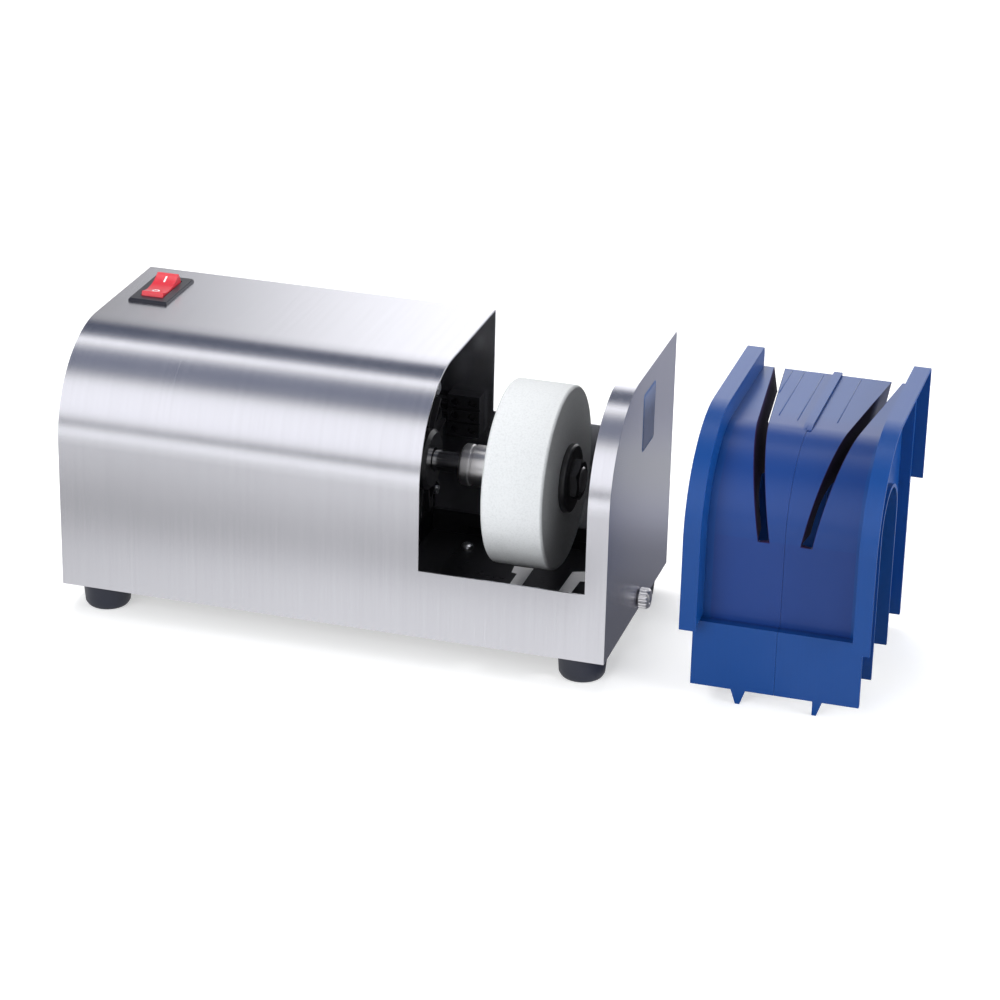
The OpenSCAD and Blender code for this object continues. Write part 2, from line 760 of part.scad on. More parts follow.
module run_capacitor() {
    color([0.78, 0.78, 0.76]) placed() translate([cap_x, cap_y0, cap_z]) rotate([-90, 0, 0]) {
        rotate_extrude() polygon([
            [0, 0], [cap_d / 2 - 2, 0], [cap_d / 2, 2], [cap_d / 2, cap_l - 3], [cap_d / 2 - 1.4, cap_l - 1],
            [cap_d / 2 - 3, cap_l - 1], [cap_d / 2 - 3.6, cap_l - 2], [0, cap_l - 2]
        ]);
        for (x = [-6, 6]) translate([x - 3.2, -0.4, cap_l - 2.5]) cube([6.4, 0.8, 9]);
    }
}

module capacitor_clip() {
    clip_w = 16;
    y0 = cap_y0 + cap_l / 2 - clip_w / 2;
    r = cap_d / 2 + 0.3;
    color("silver") placed() translate([cap_x, y0, 0]) rotate([90, 0, 0]) mirror([0, 0, 1])
        linear_extrude(clip_w) difference() {
            union() {
                translate([0, cap_z]) circle(r = r + 1.2);
                translate([-r - 1.2, pan_top]) square([2 * r + 2.4, cap_z - pan_top]);
            }
            translate([0, cap_z]) circle(r = r);
            translate([-r, pan_top + 1.4]) square([2 * r, cap_z - pan_top - 1.4]);
            translate([-r / 2, cap_z]) square([r, r + 5]);
        }
}

module terminal_block() {
    pitch = block_size[2] / 3;
    color([0.14, 0.14, 0.15]) placed() translate(block_place) difference() {
        cube(block_size);
        for (k = [0:2]) translate([0, 0, pitch * (k + 0.5)]) {
            for (x = [4.5, block_size[0] - 4.5]) translate([x, -1, 0]) rotate([-90, 0, 0]) cylinder(h = 5, d = 5);
            translate([-1, 4, 0]) rotate([0, 90, 0]) cylinder(h = 5, d = 3.4);
        }
        for (k = [1, 2]) translate([-1, -1, pitch * k - 0.6]) cube([block_size[0] + 2, 2.4, 1.2]);
    }
}

// Quarter turn of a lead, from the direction 90 degrees round to the direction 180 degrees
module lead_elbow() {
    rotate([0, 0, 90]) rotate_extrude(angle = 90) translate([lead_bend, 0]) circle(d = lead_d);
}

// Insulated lead: down from a tab, back to the line of the leads, then along X to the block
module lead(tab_y, tab_z, z) {
    x0 = switch_cx;
    x1 = block_place[0] + 3.5;
    y1 = lead_y - lead_bend;
    translate([x0, tab_y, z + lead_bend]) cylinder(h = tab_z - z - lead_bend, d = lead_d);
    translate([x0, tab_y + lead_bend, z + lead_bend]) rotate([90, 0, 90]) rotate([0, 0, 90])
        lead_elbow();
    translate([x0, tab_y + lead_bend, z]) rotate([-90, 0, 0])
        cylinder(h = y1 - tab_y - lead_bend, d = lead_d);
    translate([x0 + lead_bend, y1, z]) lead_elbow();
    rod_x(x0 + lead_bend, x1, lead_d, lead_y, z);
}

module switch_leads() {
    color([0.1, 0.1, 0.12]) placed() for (k = [0, 1])
        lead(switch_cy + 7 - 14 * k, top_z - can_h - 8, block_place[2] + (2.5 - k) * block_size[2] / 3);
}

// Rocker window and the pivot line run along X through the middle of the switch
module switch_housing() {
    win_w = rocker_w + 2 * rocker_gap;
    win_l = 2 * (rocker_r + rocker_gap);
    color([0.06, 0.06, 0.08]) placed() difference() {
        union() {
            for (step = [[0, 0, bezel_h - 0.7], [0.6, bezel_h - 0.7 - eps, bezel_h]])
                box([switch_x + step[0], switch_y + step[0], top_z + step[1]],
                    [switch_x + bezel_w - step[0], switch_y + bezel_l - step[0], top_z + step[2]]);
            box([switch_cx - can_w / 2, switch_cy - can_l / 2, top_z - can_h],
                [switch_cx + can_w / 2, switch_cy + can_l / 2, top_z + eps]);
        }
        box([switch_cx - win_w / 2, switch_cy - win_l / 2, pivot_z - rocker_belly - rocker_belly_gap],
            [switch_cx + win_w / 2, switch_cy + win_l / 2, top_z + bezel_h + 1]);
        rod_x(switch_cx - win_w / 2 - pivot_reach, switch_cx + win_w / 2 + pivot_reach,
              2 * (pivot_r + run_gap), switch_cy, pivot_z);
    }
}

// Rocker: a round belly that turns in the window, two finger faces and pivot pins
module switch_rocker() {
    pin_x = rocker_w / 2 + rocker_gap + pivot_reach - 0.2;
    dish_r = 27;
    color([0.82, 0.2, 0.26]) placed() translate([switch_cx, switch_cy, pivot_z])
        rotate([rocker_travel / 2, 0, 0]) {
            along_x(-rocker_w / 2, rocker_w / 2) difference() {
                intersection() {
                    circle(r = rocker_r, $fn = 96);
                    translate([-rocker_r, -rocker_belly]) square([2 * rocker_r, rocker_belly + 11.4]);
                }
                translate([0, dish_r + 5.6]) circle(r = dish_r, $fn = 128);
            }
            rod_x(-pin_x, pin_x, 2 * pivot_r, 0, 0);
        }
}

module switch_tabs() {
    color("silver") placed() for (k = [0, 1])
        box([switch_cx - 3.2, switch_cy + 7 - 14 * k - 0.4, top_z - can_h - 8],
            [switch_cx + 3.2, switch_cy + 7 - 14 * k + 0.4, top_z - can_h]);
}

module cord_bush() {
    grip_l = 4;
    color([0.07, 0.07, 0.08]) placed() translate([cord_x, body_d + grip_l, cord_z]) rotate([90, 0, 0])
        rotate_extrude() polygon([
            [cord_bore_d / 2, 0], [cord_flange_d / 2 - 2, 0], [cord_flange_d / 2, 2], [cord_flange_d / 2, grip_l],
            [cord_thread_d / 2, grip_l], [cord_thread_d / 2, grip_l + sheet_t + 9],
            [cord_bore_d / 2, grip_l + sheet_t + 9]
        ]);
}

module cord_bush_nut() {
    color([0.07, 0.07, 0.08]) placed() translate([cord_x, body_d - sheet_t, cord_z]) rotate([90, 0, 0])
        difference() {
            cylinder(h = 4, d = cord_flange_d, $fn = 6);
            translate([0, 0, -1]) cylinder(h = 6, d = cord_thread_d + 0.04);
        }
}

// ---------- knife guide ----------

// X places of the prongs under the apron, from the seam
function prong_xs() = [-20.6, 23.3];

// Moves a guide piece from its own place to where the guide stands
module guide_placed() {
    placed() translate([guide_x, guide_y, prong_l]) children();
}

// Side outline of the rims' outer face, moved inwards by a distance
module rim_side(inset = 0) {
    bent_side(rim_y0 + inset, rim_y1 - inset, -1, guide_h - inset, rim_r - inset, 3 - inset);
}

// Side outline of the dished panel between the rims, moved inwards by a distance
module saddle_side(inset = 0) {
    bent_side(saddle_y0 + inset, rim_y1, -1, saddle_z1 - inset, saddle_r - inset, 0.6);
}

// Flat sheet along a knife slot, between two distances across it, from a height above its foot
module slot_sheet(d0, d1, z0) {
    translate([slot_foot_x, saddle_y0, slot_foot_z]) rotate([0, slot_lean, 0]) rotate([0, 0, -slot_spread])
        box([d0, -slot_reach, z0], [d1, slot_reach, slot_reach]);
}

// Fins under the panel along both sides of a knife slot, clear of the wheel of a fitted guide
module slot_fins() {
    difference() {
        intersection() {
            along_x(seam, rim_x0 + 1) difference() {
                saddle_side(1);
                saddle_side(1 + slot_fin_h);
            }
            union() {
                slot_sheet(slot_w / 2, slot_w / 2 + slot_fin_t, slot_fin_start);
                slot_sheet(-slot_w / 2 - slot_fin_t, -slot_w / 2, slot_fin_start);
            }
        }
        rod_x(-wheel_t / 2 - 4, wheel_t / 2 + 4, wheel_d + 4, axis_y + seat_y, axis_z - seat_z);
    }
}

// Prong that hangs under a wall: wide where it leaves the wall, with a blunt tip
module prong(x, upright) {
    tip = 2.6;
    foot = 8.4;
    inner = upright ? -tip / 2 : -foot / 2;
    translate([x, wall_t, 0]) rotate([90, 0, 0]) linear_extrude(wall_t) polygon([
        [inner, 0.5], [foot / 2, 0.5], [foot / 2, 0], [tip / 2, -prong_l], [-tip / 2, -prong_l], [inner, 0]
    ]);
}

// One half of the guide, drawn on the +X side of the seam
module guide_half() {
    difference() {
        union() {
            // Dished panel over the wheel
            along_x(seam, rim_x0 + wall_t) difference() {
                saddle_side();
                saddle_side(wall_t);
                translate([-20, -20]) square([400, 20 + ledge_z - wall_t]);
            }
            // Upright wall between the panel and the rim strip
            along_x(rim_x0, rim_x0 + wall_t) difference() {
                rim_side();
                saddle_side(wall_t);
                translate([-40, -40]) square([400, 40 + ledge_z + 0.9]);
                translate([plug_d - wall_t, -40]) square([200, 40 + rim_back_z]);
            }
            // Rim strip that lies over the edge of the housing
            along_x(rim_x0, rim_x1) difference() {
                rim_side();
                rim_side(rim_t);
                translate([rim_y0 - 1, -40]) square([body_d / 2, 40 + rim_front_z]);
                translate([body_d / 3, -40]) square([200, 40 + rim_back_z]);
            }
            // Side wall with the arch that clears the spindle
            along_x(side_x0, side_x1) difference() {
                saddle_side(wall_t - 0.5);
                translate([-40, -40]) square([400, 40 + side_foot_z]);
                translate([-40, -40]) square([40 + wall_t - 1, 400]);
                translate([plug_d - 1, -40]) square([200, 400]);
                arch_outline(arch_r - arch_wall, -40);
            }
            // Raised rim of the arch
            along_x(side_x0, plug_half) difference() {
                arch_outline(arch_r, 0);
                arch_outline(arch_r - arch_wall, -40);
            }
            // Apron, ledge, back wall and the panel's closing edges
            box([seam, 0, 0], [plug_half, wall_t, ledge_z]);
            box([seam, 0, ledge_z - wall_t], [rim_x0 + wall_t, saddle_y0 + wall_t, ledge_z]);
            box([rim_x0, -8, ledge_z + 0.9], [rim_x0 + wall_t, saddle_y0 + wall_t, ledge_z + 6]);
            box([seam, plug_d - wall_t, 0], [plug_half, plug_d, back_wall_h]);
            box([side_x0, plug_d - wall_t - 1, back_wall_h - 1], [plug_half, plug_d, saddle_z1 - 1]);
            box([rim_x0, plug_d - wall_t, rim_back_z], [rim_x0 + wall_t, rim_y1 - 0.5, saddle_z1 - 1]);
            slot_fins();
            // Bosses for the joining screws
            for (b = guide_boss) rod_x(seam, 11, 2 * boss_r, b[0], b[1]);
            for (b = guide_boss) box([seam, b[0] < plug_d / 2 ? 1 : b[0], b[1] - 1],
                                     [8, b[0] < plug_d / 2 ? b[0] : plug_d - 1, b[1] + 1]);
        }
        // Knife slot, open at the top and through the back
        slot_sheet(-slot_w / 2, slot_w / 2, 0);
    }
}

// Inverted U, drawn in (y, z), open at its foot
module arch_outline(r, z0) {
    translate([arch_cy, arch_cz]) circle(r = r, $fn = 96);
    translate([arch_cy - r, z0]) square([2 * r, arch_cz - z0]);
}

module guide_left_half() {
    color([0.12, 0.27, 0.56]) guide_placed() difference() {
        union() {
            mirror([1, 0, 0]) guide_half();
            // Raised strip that covers the seam along the top
            along_x(-ridge_w / 2, -seam) ridge_outline(-0.5);
            along_x(-seam - 0.1, ridge_w / 2) ridge_outline(0.05);
            // Lap that the other half rests on
            box([-lap_w, wall_t, guide_boss[0][1] + boss_r + 1.5], [lap_w - 1, wall_t + lap_t, ledge_z - 4]);
            prong_pair(prong_xs()[0], false);
        }
        for (b = guide_boss) rod_x(-12, 1, guide_screw_d, b[0], b[1]);
    }
}

// Ridge along the top of the panel, drawn in (y, z), starting at a height above the panel
module ridge_outline(lift) {
    ridge_y0 = saddle_y0 + saddle_r - 12;
    polygon([
        [ridge_y0 + 6, saddle_z1 + lift], [ridge_y0 + 14, saddle_z1 + ridge_h],
        [rim_y1, saddle_z1 + ridge_h], [rim_y1, saddle_z1 + lift]
    ]);
}

module prong_pair(x, upright) {
    for (y = [0, plug_d - wall_t]) translate([0, y, 0]) prong(x, upright);
}

module guide_right_half() {
    color([0.12, 0.27, 0.56]) guide_placed() difference() {
        union() {
            guide_half();
            prong_pair(prong_xs()[1], true);
        }
        for (b = guide_boss) {
            rod_x(-1, 40, 3.6, b[0], b[1]);
            rod_x(8, 12, 2 * boss_r + 1, b[0], b[1]);
        }
    }
}

module guide_screws() {
    color("silver") guide_placed() for (b = guide_boss) {
        rod_x(8, 8 + 0.9 * guide_screw_d, 2.5 * guide_screw_d, b[0], b[1]);
        rod_x(8.1 - guide_screw_l, 8.1, guide_screw_d, b[0], b[1]);
    }
}

// ---------- parts ----------
housing_wrap();
bay_lip();
bay_back_wall();
end_box_wrap();
left_end_plate();
right_end_plate();
bay_right_wall();
motor_bulkhead();
base_pan();
bay_tray();
tray_screws();
rubber_feet();
foot_screws();
foot_nuts();
cover_screws();
thumbscrew();
thumbscrew_bush();
stator_stack();
stator_windings();
front_bell();
rear_bell();
through_bolts();
motor_cradle();
cradle_screws();
front_bearing();
rear_bearing();
motor_shaft();
rotor_core();
cooling_fan();
hub_sleeve();
sleeve_set_screw();
inner_flange();
grinding_wheel();
wheel_bush();
outer_flange();
spindle_nut();
run_capacitor();
capacitor_clip();
terminal_block();
switch_leads();
switch_housing();
switch_rocker();
switch_tabs();
cord_bush();
cord_bush_nut();
guide_left_half();
guide_right_half();
guide_screws();
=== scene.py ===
"""Dresses the bench knife sharpener and sets its studio.

It makes the finishes, and the small pieces that have no solid of their own.
"""

from __future__ import annotations

import json
import logging
import math
from dataclasses import dataclass
from enum import Enum

import bmesh
import bpy
from mathutils import Matrix, Vector

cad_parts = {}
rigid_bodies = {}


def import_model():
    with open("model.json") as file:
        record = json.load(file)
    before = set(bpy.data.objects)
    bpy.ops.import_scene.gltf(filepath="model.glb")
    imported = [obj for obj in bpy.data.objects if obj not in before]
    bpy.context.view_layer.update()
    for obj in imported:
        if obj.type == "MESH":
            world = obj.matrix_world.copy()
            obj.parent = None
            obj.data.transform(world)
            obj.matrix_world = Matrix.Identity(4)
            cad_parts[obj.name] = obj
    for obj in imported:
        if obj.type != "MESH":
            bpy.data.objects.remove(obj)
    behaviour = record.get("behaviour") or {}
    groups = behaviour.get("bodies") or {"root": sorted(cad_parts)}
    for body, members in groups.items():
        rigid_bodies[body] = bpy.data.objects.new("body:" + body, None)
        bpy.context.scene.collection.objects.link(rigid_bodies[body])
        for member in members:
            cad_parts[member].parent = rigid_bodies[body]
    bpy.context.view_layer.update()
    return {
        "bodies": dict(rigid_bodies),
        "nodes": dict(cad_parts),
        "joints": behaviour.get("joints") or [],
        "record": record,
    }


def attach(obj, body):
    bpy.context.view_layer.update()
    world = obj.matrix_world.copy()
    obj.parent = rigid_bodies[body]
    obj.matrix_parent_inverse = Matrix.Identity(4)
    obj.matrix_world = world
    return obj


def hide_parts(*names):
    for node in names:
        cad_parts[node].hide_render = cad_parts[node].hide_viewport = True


LOG = logging.getLogger("sharpener")
MM = 0.001
# The row frame's origin, in millimetres from the housing's left end, its front and the bench
ORIGIN = Vector((239.95, 75.3, 0.0))
WHITE = (1.0, 1.0, 1.0)

Colour = tuple[float, float, float]
Spread = tuple[float, float, float]
Pairs = tuple[tuple[float, float], ...]


def at(x: float, y: float, z: float) -> Vector:
    """Turns a place on the machine into the row frame.

    Args:
        x: Millimetres from the housing's left end.
        y: Millimetres from the housing's front.
        z: Millimetres above the bench.

    Returns:
        The same place in metres, in the row frame.
    """
    return (Vector((x, y, z)) - ORIGIN) * MM


# ---------- shader tools ----------


class Tone:
    """A number that varies over a surface, written with ordinary arithmetic."""

    def __init__(self, graph: Graph, socket: bpy.types.NodeSocket) -> None:
        """Wraps an output socket.

        Args:
            graph: The nodes that the socket belongs to.
            socket: The output that carries the number.
        """
        self.graph = graph
        self.socket = socket

    def _join(self, operation: str, first: Tone | float, second: Tone | float) -> Tone:
        """Adds one Math node.

        Args:
            operation: The node's operation.
            first: The left operand.
            second: The right operand.

        Returns:
            The result as a new tone.
        """
        node = self.graph.node("ShaderNodeMath", {"operation": operation}, {0: first, 1: second})
        return Tone(self.graph, node.outputs[0])

    def __add__(self, other: Tone | float) -> Tone:
        """Sum."""
        return self._join("ADD", self, other)

    def __radd__(self, other: float) -> Tone:
        """Sum with the number first."""
        return self._join("ADD", other, self)

    def __sub__(self, other: Tone | float) -> Tone:
        """Difference."""
        return self._join("SUBTRACT", self, other)

    def __rsub__(self, other: float) -> Tone:
        """Difference with the number first."""
        return self._join("SUBTRACT", other, self)

    def __mul__(self, other: Tone | float) -> Tone:
        """Product."""
        return self._join("MULTIPLY", self, other)

    def __rmul__(self, other: float) -> Tone:
        """Product with the number first."""
        return self._join("MULTIPLY", other, self)

    def size(self) -> Tone:
        """The tone without its sign."""
        return self._join("ABSOLUTE", self, 0.0)

    def clamped(self) -> Tone:
        """The same tone, held between 0 and 1."""
        return self._join("MINIMUM", self._join("MAXIMUM", self, 0.0), 1.0)


Feed = Tone | bpy.types.NodeSocket | float | tuple


class Graph:
    """The shader nodes of one material or of the world."""

    def __init__(self, tree: bpy.types.NodeTree) -> None:
        """Empties the tree to build in."""
        self.tree = tree
        self.tree.nodes.clear()

    def feed(self, socket: bpy.types.NodeSocket, value: Feed) -> None:
        """Links a tone or a socket to an input, or sets its value."""
        if isinstance(value, Tone):
            self.tree.links.new(value.socket, socket)
        elif isinstance(value, bpy.types.NodeSocket):
            self.tree.links.new(value, socket)
        else:
            socket.default_value = value

    def node(
        self, kind: str, settings: dict | None = None, inputs: dict[int | str, Feed] | None = None,
    ) -> bpy.types.Node:
        """Adds one node, with its settings first and its sockets after.

        Args:
            kind: The node's type.
            settings: Attributes to set; "stops" fills a colour ramp with (place, colour) pairs.
            inputs: Values or links of its sockets, by number or name.

        Returns:
            The new node.
        """
        made = self.tree.nodes.new(kind)
        for key, value in (settings or {}).items():
            if key == "stops":
                ramp = made.color_ramp
                while len(ramp.elements) < len(value):
                    ramp.elements.new(1.0)
                for element, (position, colour) in zip(ramp.elements, value):
                    element.position = position
                    element.color = (*colour, 1.0)
            else:
                setattr(made, key, value)
        for key, value in (inputs or {}).items():
            self.feed(made.inputs[key], value)
        return made

    def seen(self) -> Tone:
        """1 for rays that see, straight, mirrored or through glass, and 0 for those that light."""
        path = self.node("ShaderNodeLightPath").outputs
        straight, mirrored = Tone(self, path["Is Camera Ray"]), Tone(self, path["Is Glossy Ray"])
        return (straight + mirrored + Tone(self, path["Is Transmission Ray"])).clamped()


class Mixer(Graph):
    """Builds the nodes of one material."""

    def __init__(self, name: str) -> None:
        """Starts an empty material of this name."""
        self.material = bpy.data.materials.new(name)
        self.material.use_nodes = True
        super().__init__(self.material.node_tree)
        self.place = self.node("ShaderNodeTexCoord").outputs["Object"]

    def mapped(self, scale: Spread) -> bpy.types.NodeSocket:
        """Object coordinates stretched by the repeats per metre along X, Y and Z."""
        return self.node("ShaderNodeMapping", {}, {"Vector": self.place, "Scale": scale}).outputs[0]

    def noise(self, scale: Spread, detail: float = 2.0, roughness: float = 0.5) -> Tone:
        """Cloudy noise between 0 and 1.

        Args:
            scale: Repeats per metre along X, Y and Z.
            detail: Octaves.
            roughness: How strong the fine octaves are.

        Returns:
            The noise.
        """
        inputs = {"Vector": self.mapped(scale), "Scale": 1.0, "Detail": detail, "Roughness": roughness}
        return Tone(self, self.node("ShaderNodeTexNoise", {}, inputs).outputs[0])

    def grains(self, scale: float) -> Tone:
        """Distance to the nearest grain's centre, where scale is grains per metre."""
        inputs = {"Vector": self.mapped((scale, scale, scale)), "Scale": 1.0}
        return Tone(self, self.node("ShaderNodeTexVoronoi", {}, inputs).outputs["Distance"])

    def axes(self) -> tuple[Tone, Tone, Tone]:
        """Object coordinates in metres, one tone for each axis."""
        split = self.node("ShaderNodeSeparateXYZ", {}, {0: self.place})
        return tuple(Tone(self, split.outputs[k]) for k in range(3))

    def blend(
        self, factor: Tone, low: Colour | bpy.types.NodeSocket, high: Colour,
    ) -> bpy.types.NodeSocket:
        """A colour between two others.

        Args:
            factor: 0 gives the first colour and 1 the second.
            low: The first colour.
            high: The second colour.

        Returns:
            The blended colour.
        """
        first = low if isinstance(low, bpy.types.NodeSocket) else (*low, 1.0)
        values = {"Factor": factor.clamped(), "A": first, "B": (*high, 1.0)}
        node = self.node("ShaderNodeMix", {"data_type": "RGBA"})
        for socket in node.inputs:
            fits = socket.type == "RGBA" or socket.identifier == "Factor_Float"
            if fits and socket.name in values:
                self.feed(socket, values[socket.name])
        return next(s for s in node.outputs if s.type == "RGBA")

    def bump(self, height: Tone, strength: float, distance: float) -> bpy.types.NodeSocket:
        """Small relief.

        Args:
            height: The relief's height, 0 to 1.
            strength: How strongly it shows.
            distance: The real height of 1, in metres.

        Returns:
            The bumped normal.
        """
        inputs = {"Height": height, "Strength": strength, "Distance": distance}
        return self.node("ShaderNodeBump", {}, inputs).outputs[0]

    def close(self, **sockets: Feed) -> bpy.types.Material:
        """Ends the material with one Principled shader.

        Args:
            **sockets: Its sockets by name, with underscores for spaces.

        Returns:
            The finished material.
        """
        inputs = {key.replace("_", " "): value for key, value in sockets.items()}
        shader = self.node("ShaderNodeBsdfPrincipled", {}, inputs)
        self.node("ShaderNodeOutputMaterial", {}, {"Surface": shader.outputs[0]})
        return self.material


def toned(colour: Colour, factor: float) -> Colour:
    """A colour made lighter, by a factor above 1, or darker."""
    return tuple(min(1.0, c * factor) for c in colour)


# ---------- finishes ----------


@dataclass(frozen=True)
class Finish:
    """What every finish has."""

    name: str
    colour: Colour
    roughness: float

    def paint(self) -> bpy.types.Material:
        """Builds the material; each kind of finish has its own way."""
        raise NotImplementedError


@dataclass(frozen=True)
class DrawnMetal(Finish):
    """Bare metal with fine parallel lines, as a brush, a lathe or a mill leaves them."""

    lines: Spread = (2400.0, 12.0, 12.0)
    spread: float = 0.05
    relief: float = 0.12
    depth: float = 0.00004
    mottle: float = 9.0
    finer: float = 2.3
    broader: float = 0.12

    def paint(self) -> bpy.types.Material:
        """Lines in colour, roughness and relief over slow clouds."""
        mix = Mixer(self.name)
        line = mix.noise(self.lines, 3.0, 0.6)
        fine = mix.noise(tuple(self.finer * s for s in self.lines), 2.0, 0.5)
        broad = mix.noise(tuple(self.broader * s for s in self.lines), 3.0, 0.6)
        cloud = mix.noise((self.mottle,) * 3, 3.0, 0.55)
        factor = line * 0.4 + fine * 0.2 + broad * 0.25 + cloud * 0.15
        low, high = toned(self.colour, 1.0 - self.spread), toned(self.colour, 1.0 + self.spread)
        colour = mix.blend(factor, low, high)
        rough = self.roughness - 0.05 + line * 0.06 + cloud * 0.05
        normal = mix.bump(line * 0.6 + fine * 0.4, self.relief, self.depth)
        return mix.close(Base_Color=colour, Metallic=1.0, Roughness=rough, Normal=normal)


@dataclass(frozen=True)
class Moulding(Finish):
    """Moulded plastic or rubber: nearly even colour, a fine texture and slow unevenness."""

    texture: float = 1500.0
    relief: float = 0.06
    depth: float = 0.00006
    clouds: float = 14.0
    streaks: Spread | None = None
    coat: float = 0.0
    coat_roughness: float = 0.18
    unevenness: float = 0.08
    shine: float = 0.5

    def shaded(
        self, mix: Mixer, colour: bpy.types.NodeSocket, rough: Tone,
    ) -> tuple[bpy.types.NodeSocket, Tone]:
        """Leaves the finish as it is; a moulding with painted shade changes it.

        Args:
            mix: The material.
            colour: The moulding's colour.
            rough: Its roughness.

        Returns:
            The colour and the roughness to use.
        """
        return colour, rough

    def paint(self) -> bpy.types.Material:
        """Fine grain, slow clouds and, where asked, drag lines along the mould."""
        mix = Mixer(self.name)
        grain = mix.noise((self.texture,) * 3, 2.0, 0.55)
        cloud = mix.noise((self.clouds,) * 3, 3.0, 0.5)
        height = grain
        factor = cloud * 0.7 + grain * 0.3
        if self.streaks:
            streak = mix.noise(self.streaks, 3.0, 0.6)
            height = grain * 0.45 + streak * 0.55
            factor = factor * 0.6 + streak * 0.4
        low, high = toned(self.colour, 1.0 - self.unevenness), toned(self.colour, 1.0 + self.unevenness)
        colour = mix.blend(factor, low, high)
        rough = self.roughness - 0.04 + cloud * 0.08 + grain * 0.03
        normal = mix.bump(height, self.relief, self.depth)
        colour, rough = self.shaded(mix, colour, rough)
        return mix.close(
            Base_Color=colour, Roughness=rough, Normal=normal, Coat_Weight=self.coat,
            Coat_Roughness=self.coat_roughness, Specular_IOR_Level=self.shine,
        )


@dataclass(frozen=True)
class KnifeSlot:
    """Where the right knife slot lies; the left one mirrors it across the guide's seam.

    The slot runs up the bend of the guide's panel and on along its flat top. Lengths are
    millimetres from the housing's left end, its front and the bench.
    """

    seam: float = 426.0
    out: float = 12.0
    front: float = 17.0
    foot: float = 98.6
    half_width: float = 3.1
    lean: float = math.radians(9.6)
    spread: float = math.radians(5.9)
    bend_y: float = 67.0
    bend_z: float = 99.8

    def middle(self, y: float, z: float) -> float:
        """Distance of the slot's middle from the seam, at a depth and a height."""
        leaning = (z - self.foot) * math.tan(self.lean)
        return self.out + leaning + (y - self.front) * math.tan(self.spread) / math.cos(self.lean)


KNIFE_SLOT = KnifeSlot()


@dataclass(frozen=True)
class SlottedMoulding(Moulding):
    """Moulding with painted shade, a near-black colour, inside its knife slots, and painted shade that
    darkens its inset panel.

    Lengths are in millimetres. A mask's fade is how much it grows over one metre, or at the rim over
    a thousand square millimetres.
    """

    # The slot shade colour is painted shade: near-black where the slot walls lie in shadow; it also dulls
    # the surface there.
    slot_shade: Colour = (0.012, 0.003, 0.04)
    slot_shade_dullness: float = 0.5
    slot_shade_edge: float = 0.35
    foot_edge: float = 0.5
    crisp: float = 5000.0
    lit_from: float = 112.0
    lit_fade: float = 60.0
    # The inset colour is painted shade: the darker violet that the recessed panel between the rims takes in
    # shadow.
    inset: Colour = (0.01, 0.032, 0.165)
    inset_shade_share: float = 0.7
    inset_half: float = 40.2
    inset_side_fade: float = 1500.0
    inset_radius: float = 53.5
    inset_rim_fade: float = 2.0
    inset_front: float = 14.4
    inset_front_fade: float = 3000.0
    inset_back_fade: float = 200.0
    inset_bend_fade: float = 400.0
    inset_foot: float = 44.0
    inset_foot_fade: float = 800.0

    def shaded(
        self, mix: Mixer, colour: bpy.types.NodeSocket, rough: Tone,
    ) -> tuple[bpy.types.NodeSocket, Tone]:
        """Paints shade over the inset panel, and paints near-black shade between the walls of either slot,
        except at the right slot's rear end, which light reaches.
        """
        slot = KNIFE_SLOT
        x, y, z = mix.axes()
        foot = at(slot.seam, slot.front, slot.foot)
        from_seam = x - foot.x
        leaning = (z - foot.z) * math.tan(slot.lean)
        spreading = (y - foot.y) * (math.tan(slot.spread) / math.cos(slot.lean))
        across = (from_seam.size() - slot.out * MM - leaning - spreading) * math.cos(slot.lean)
        reach = (slot.half_width + self.slot_shade_edge) * MM
        within = ((reach - across.size()) * self.crisp).clamped()
        above = ((z - foot.z + self.foot_edge * MM) * self.crisp).clamped()
        lit = at(0.0, self.lit_from, 0.0)
        lit_end = ((y - lit.y) * self.lit_fade).clamped() * (from_seam * self.crisp).clamped()
        # Painted shade mask: between the walls of a knife slot and above its foot, but not at the right
        # slot's rear end, where light from behind reaches.
        dark = (within * above * (1.0 - lit_end)).clamped()

        # Painted shade over the recessed inset panel: its bend and its straight front part, between the rims
        # and above the apron.
        centre = at(slot.seam, slot.bend_y, slot.bend_z)
        low_front = at(0.0, self.inset_front, self.inset_foot)
        # Squares of radii, in thousands of square millimetres
        far = ((y - centre.y) * (y - centre.y) + (z - centre.z) * (z - centre.z)) * 1000.0
        bent = ((self.inset_radius**2 * MM - far) * self.inset_rim_fade).clamped()
        straight = (
            ((y - low_front.y) * self.inset_front_fade).clamped()
            * ((centre.y - y) * self.inset_back_fade).clamped()
            * ((centre.z - z) * self.inset_bend_fade).clamped()
        )
        between = ((self.inset_half * MM - from_seam.size()) * self.inset_side_fade).clamped()
        above_apron = ((z - low_front.z) * self.inset_foot_fade).clamped()
        inside = (bent + straight).clamped() * between * above_apron
        inset_shaded = mix.blend(inside * self.inset_shade_share, colour, self.inset)
        return mix.blend(dark, inset_shaded, self.slot_shade), rough + dark * self.slot_shade_dullness


@dataclass(frozen=True)
class Abrasive(Finish):
    """White vitrified grit: round grains, dark pores between them and faint dust."""

    grain: float = 1500.0
    pore: float = 900.0
    dust: float = 26.0
    turning: Spread = (700.0, 9.0, 9.0)
    depth: float = 0.00012

    def paint(self) -> bpy.types.Material:
        """Grains and pores in colour and relief."""
        mix = Mixer(self.name)
        grain = mix.grains(self.grain)
        pores = mix.noise((self.pore,) * 3, 4.0, 0.7)
        cloud = mix.noise((self.dust,) * 3, 4.0, 0.6)
        turned = mix.noise(self.turning, 2.0, 0.5)
        speck = (pores - 0.6) * 5.0
        shade = (speck * 0.5 + cloud * 0.35 + grain * 0.2 + turned * 0.15).clamped()
        colour = mix.blend(shade, toned(self.colour, 1.04), toned(self.colour, 0.84))
        normal = mix.bump(grain * 0.6 + pores * 0.5 + turned * 0.2, 0.35, self.depth)
        return mix.close(Base_Color=colour, Roughness=self.roughness, Normal=normal)


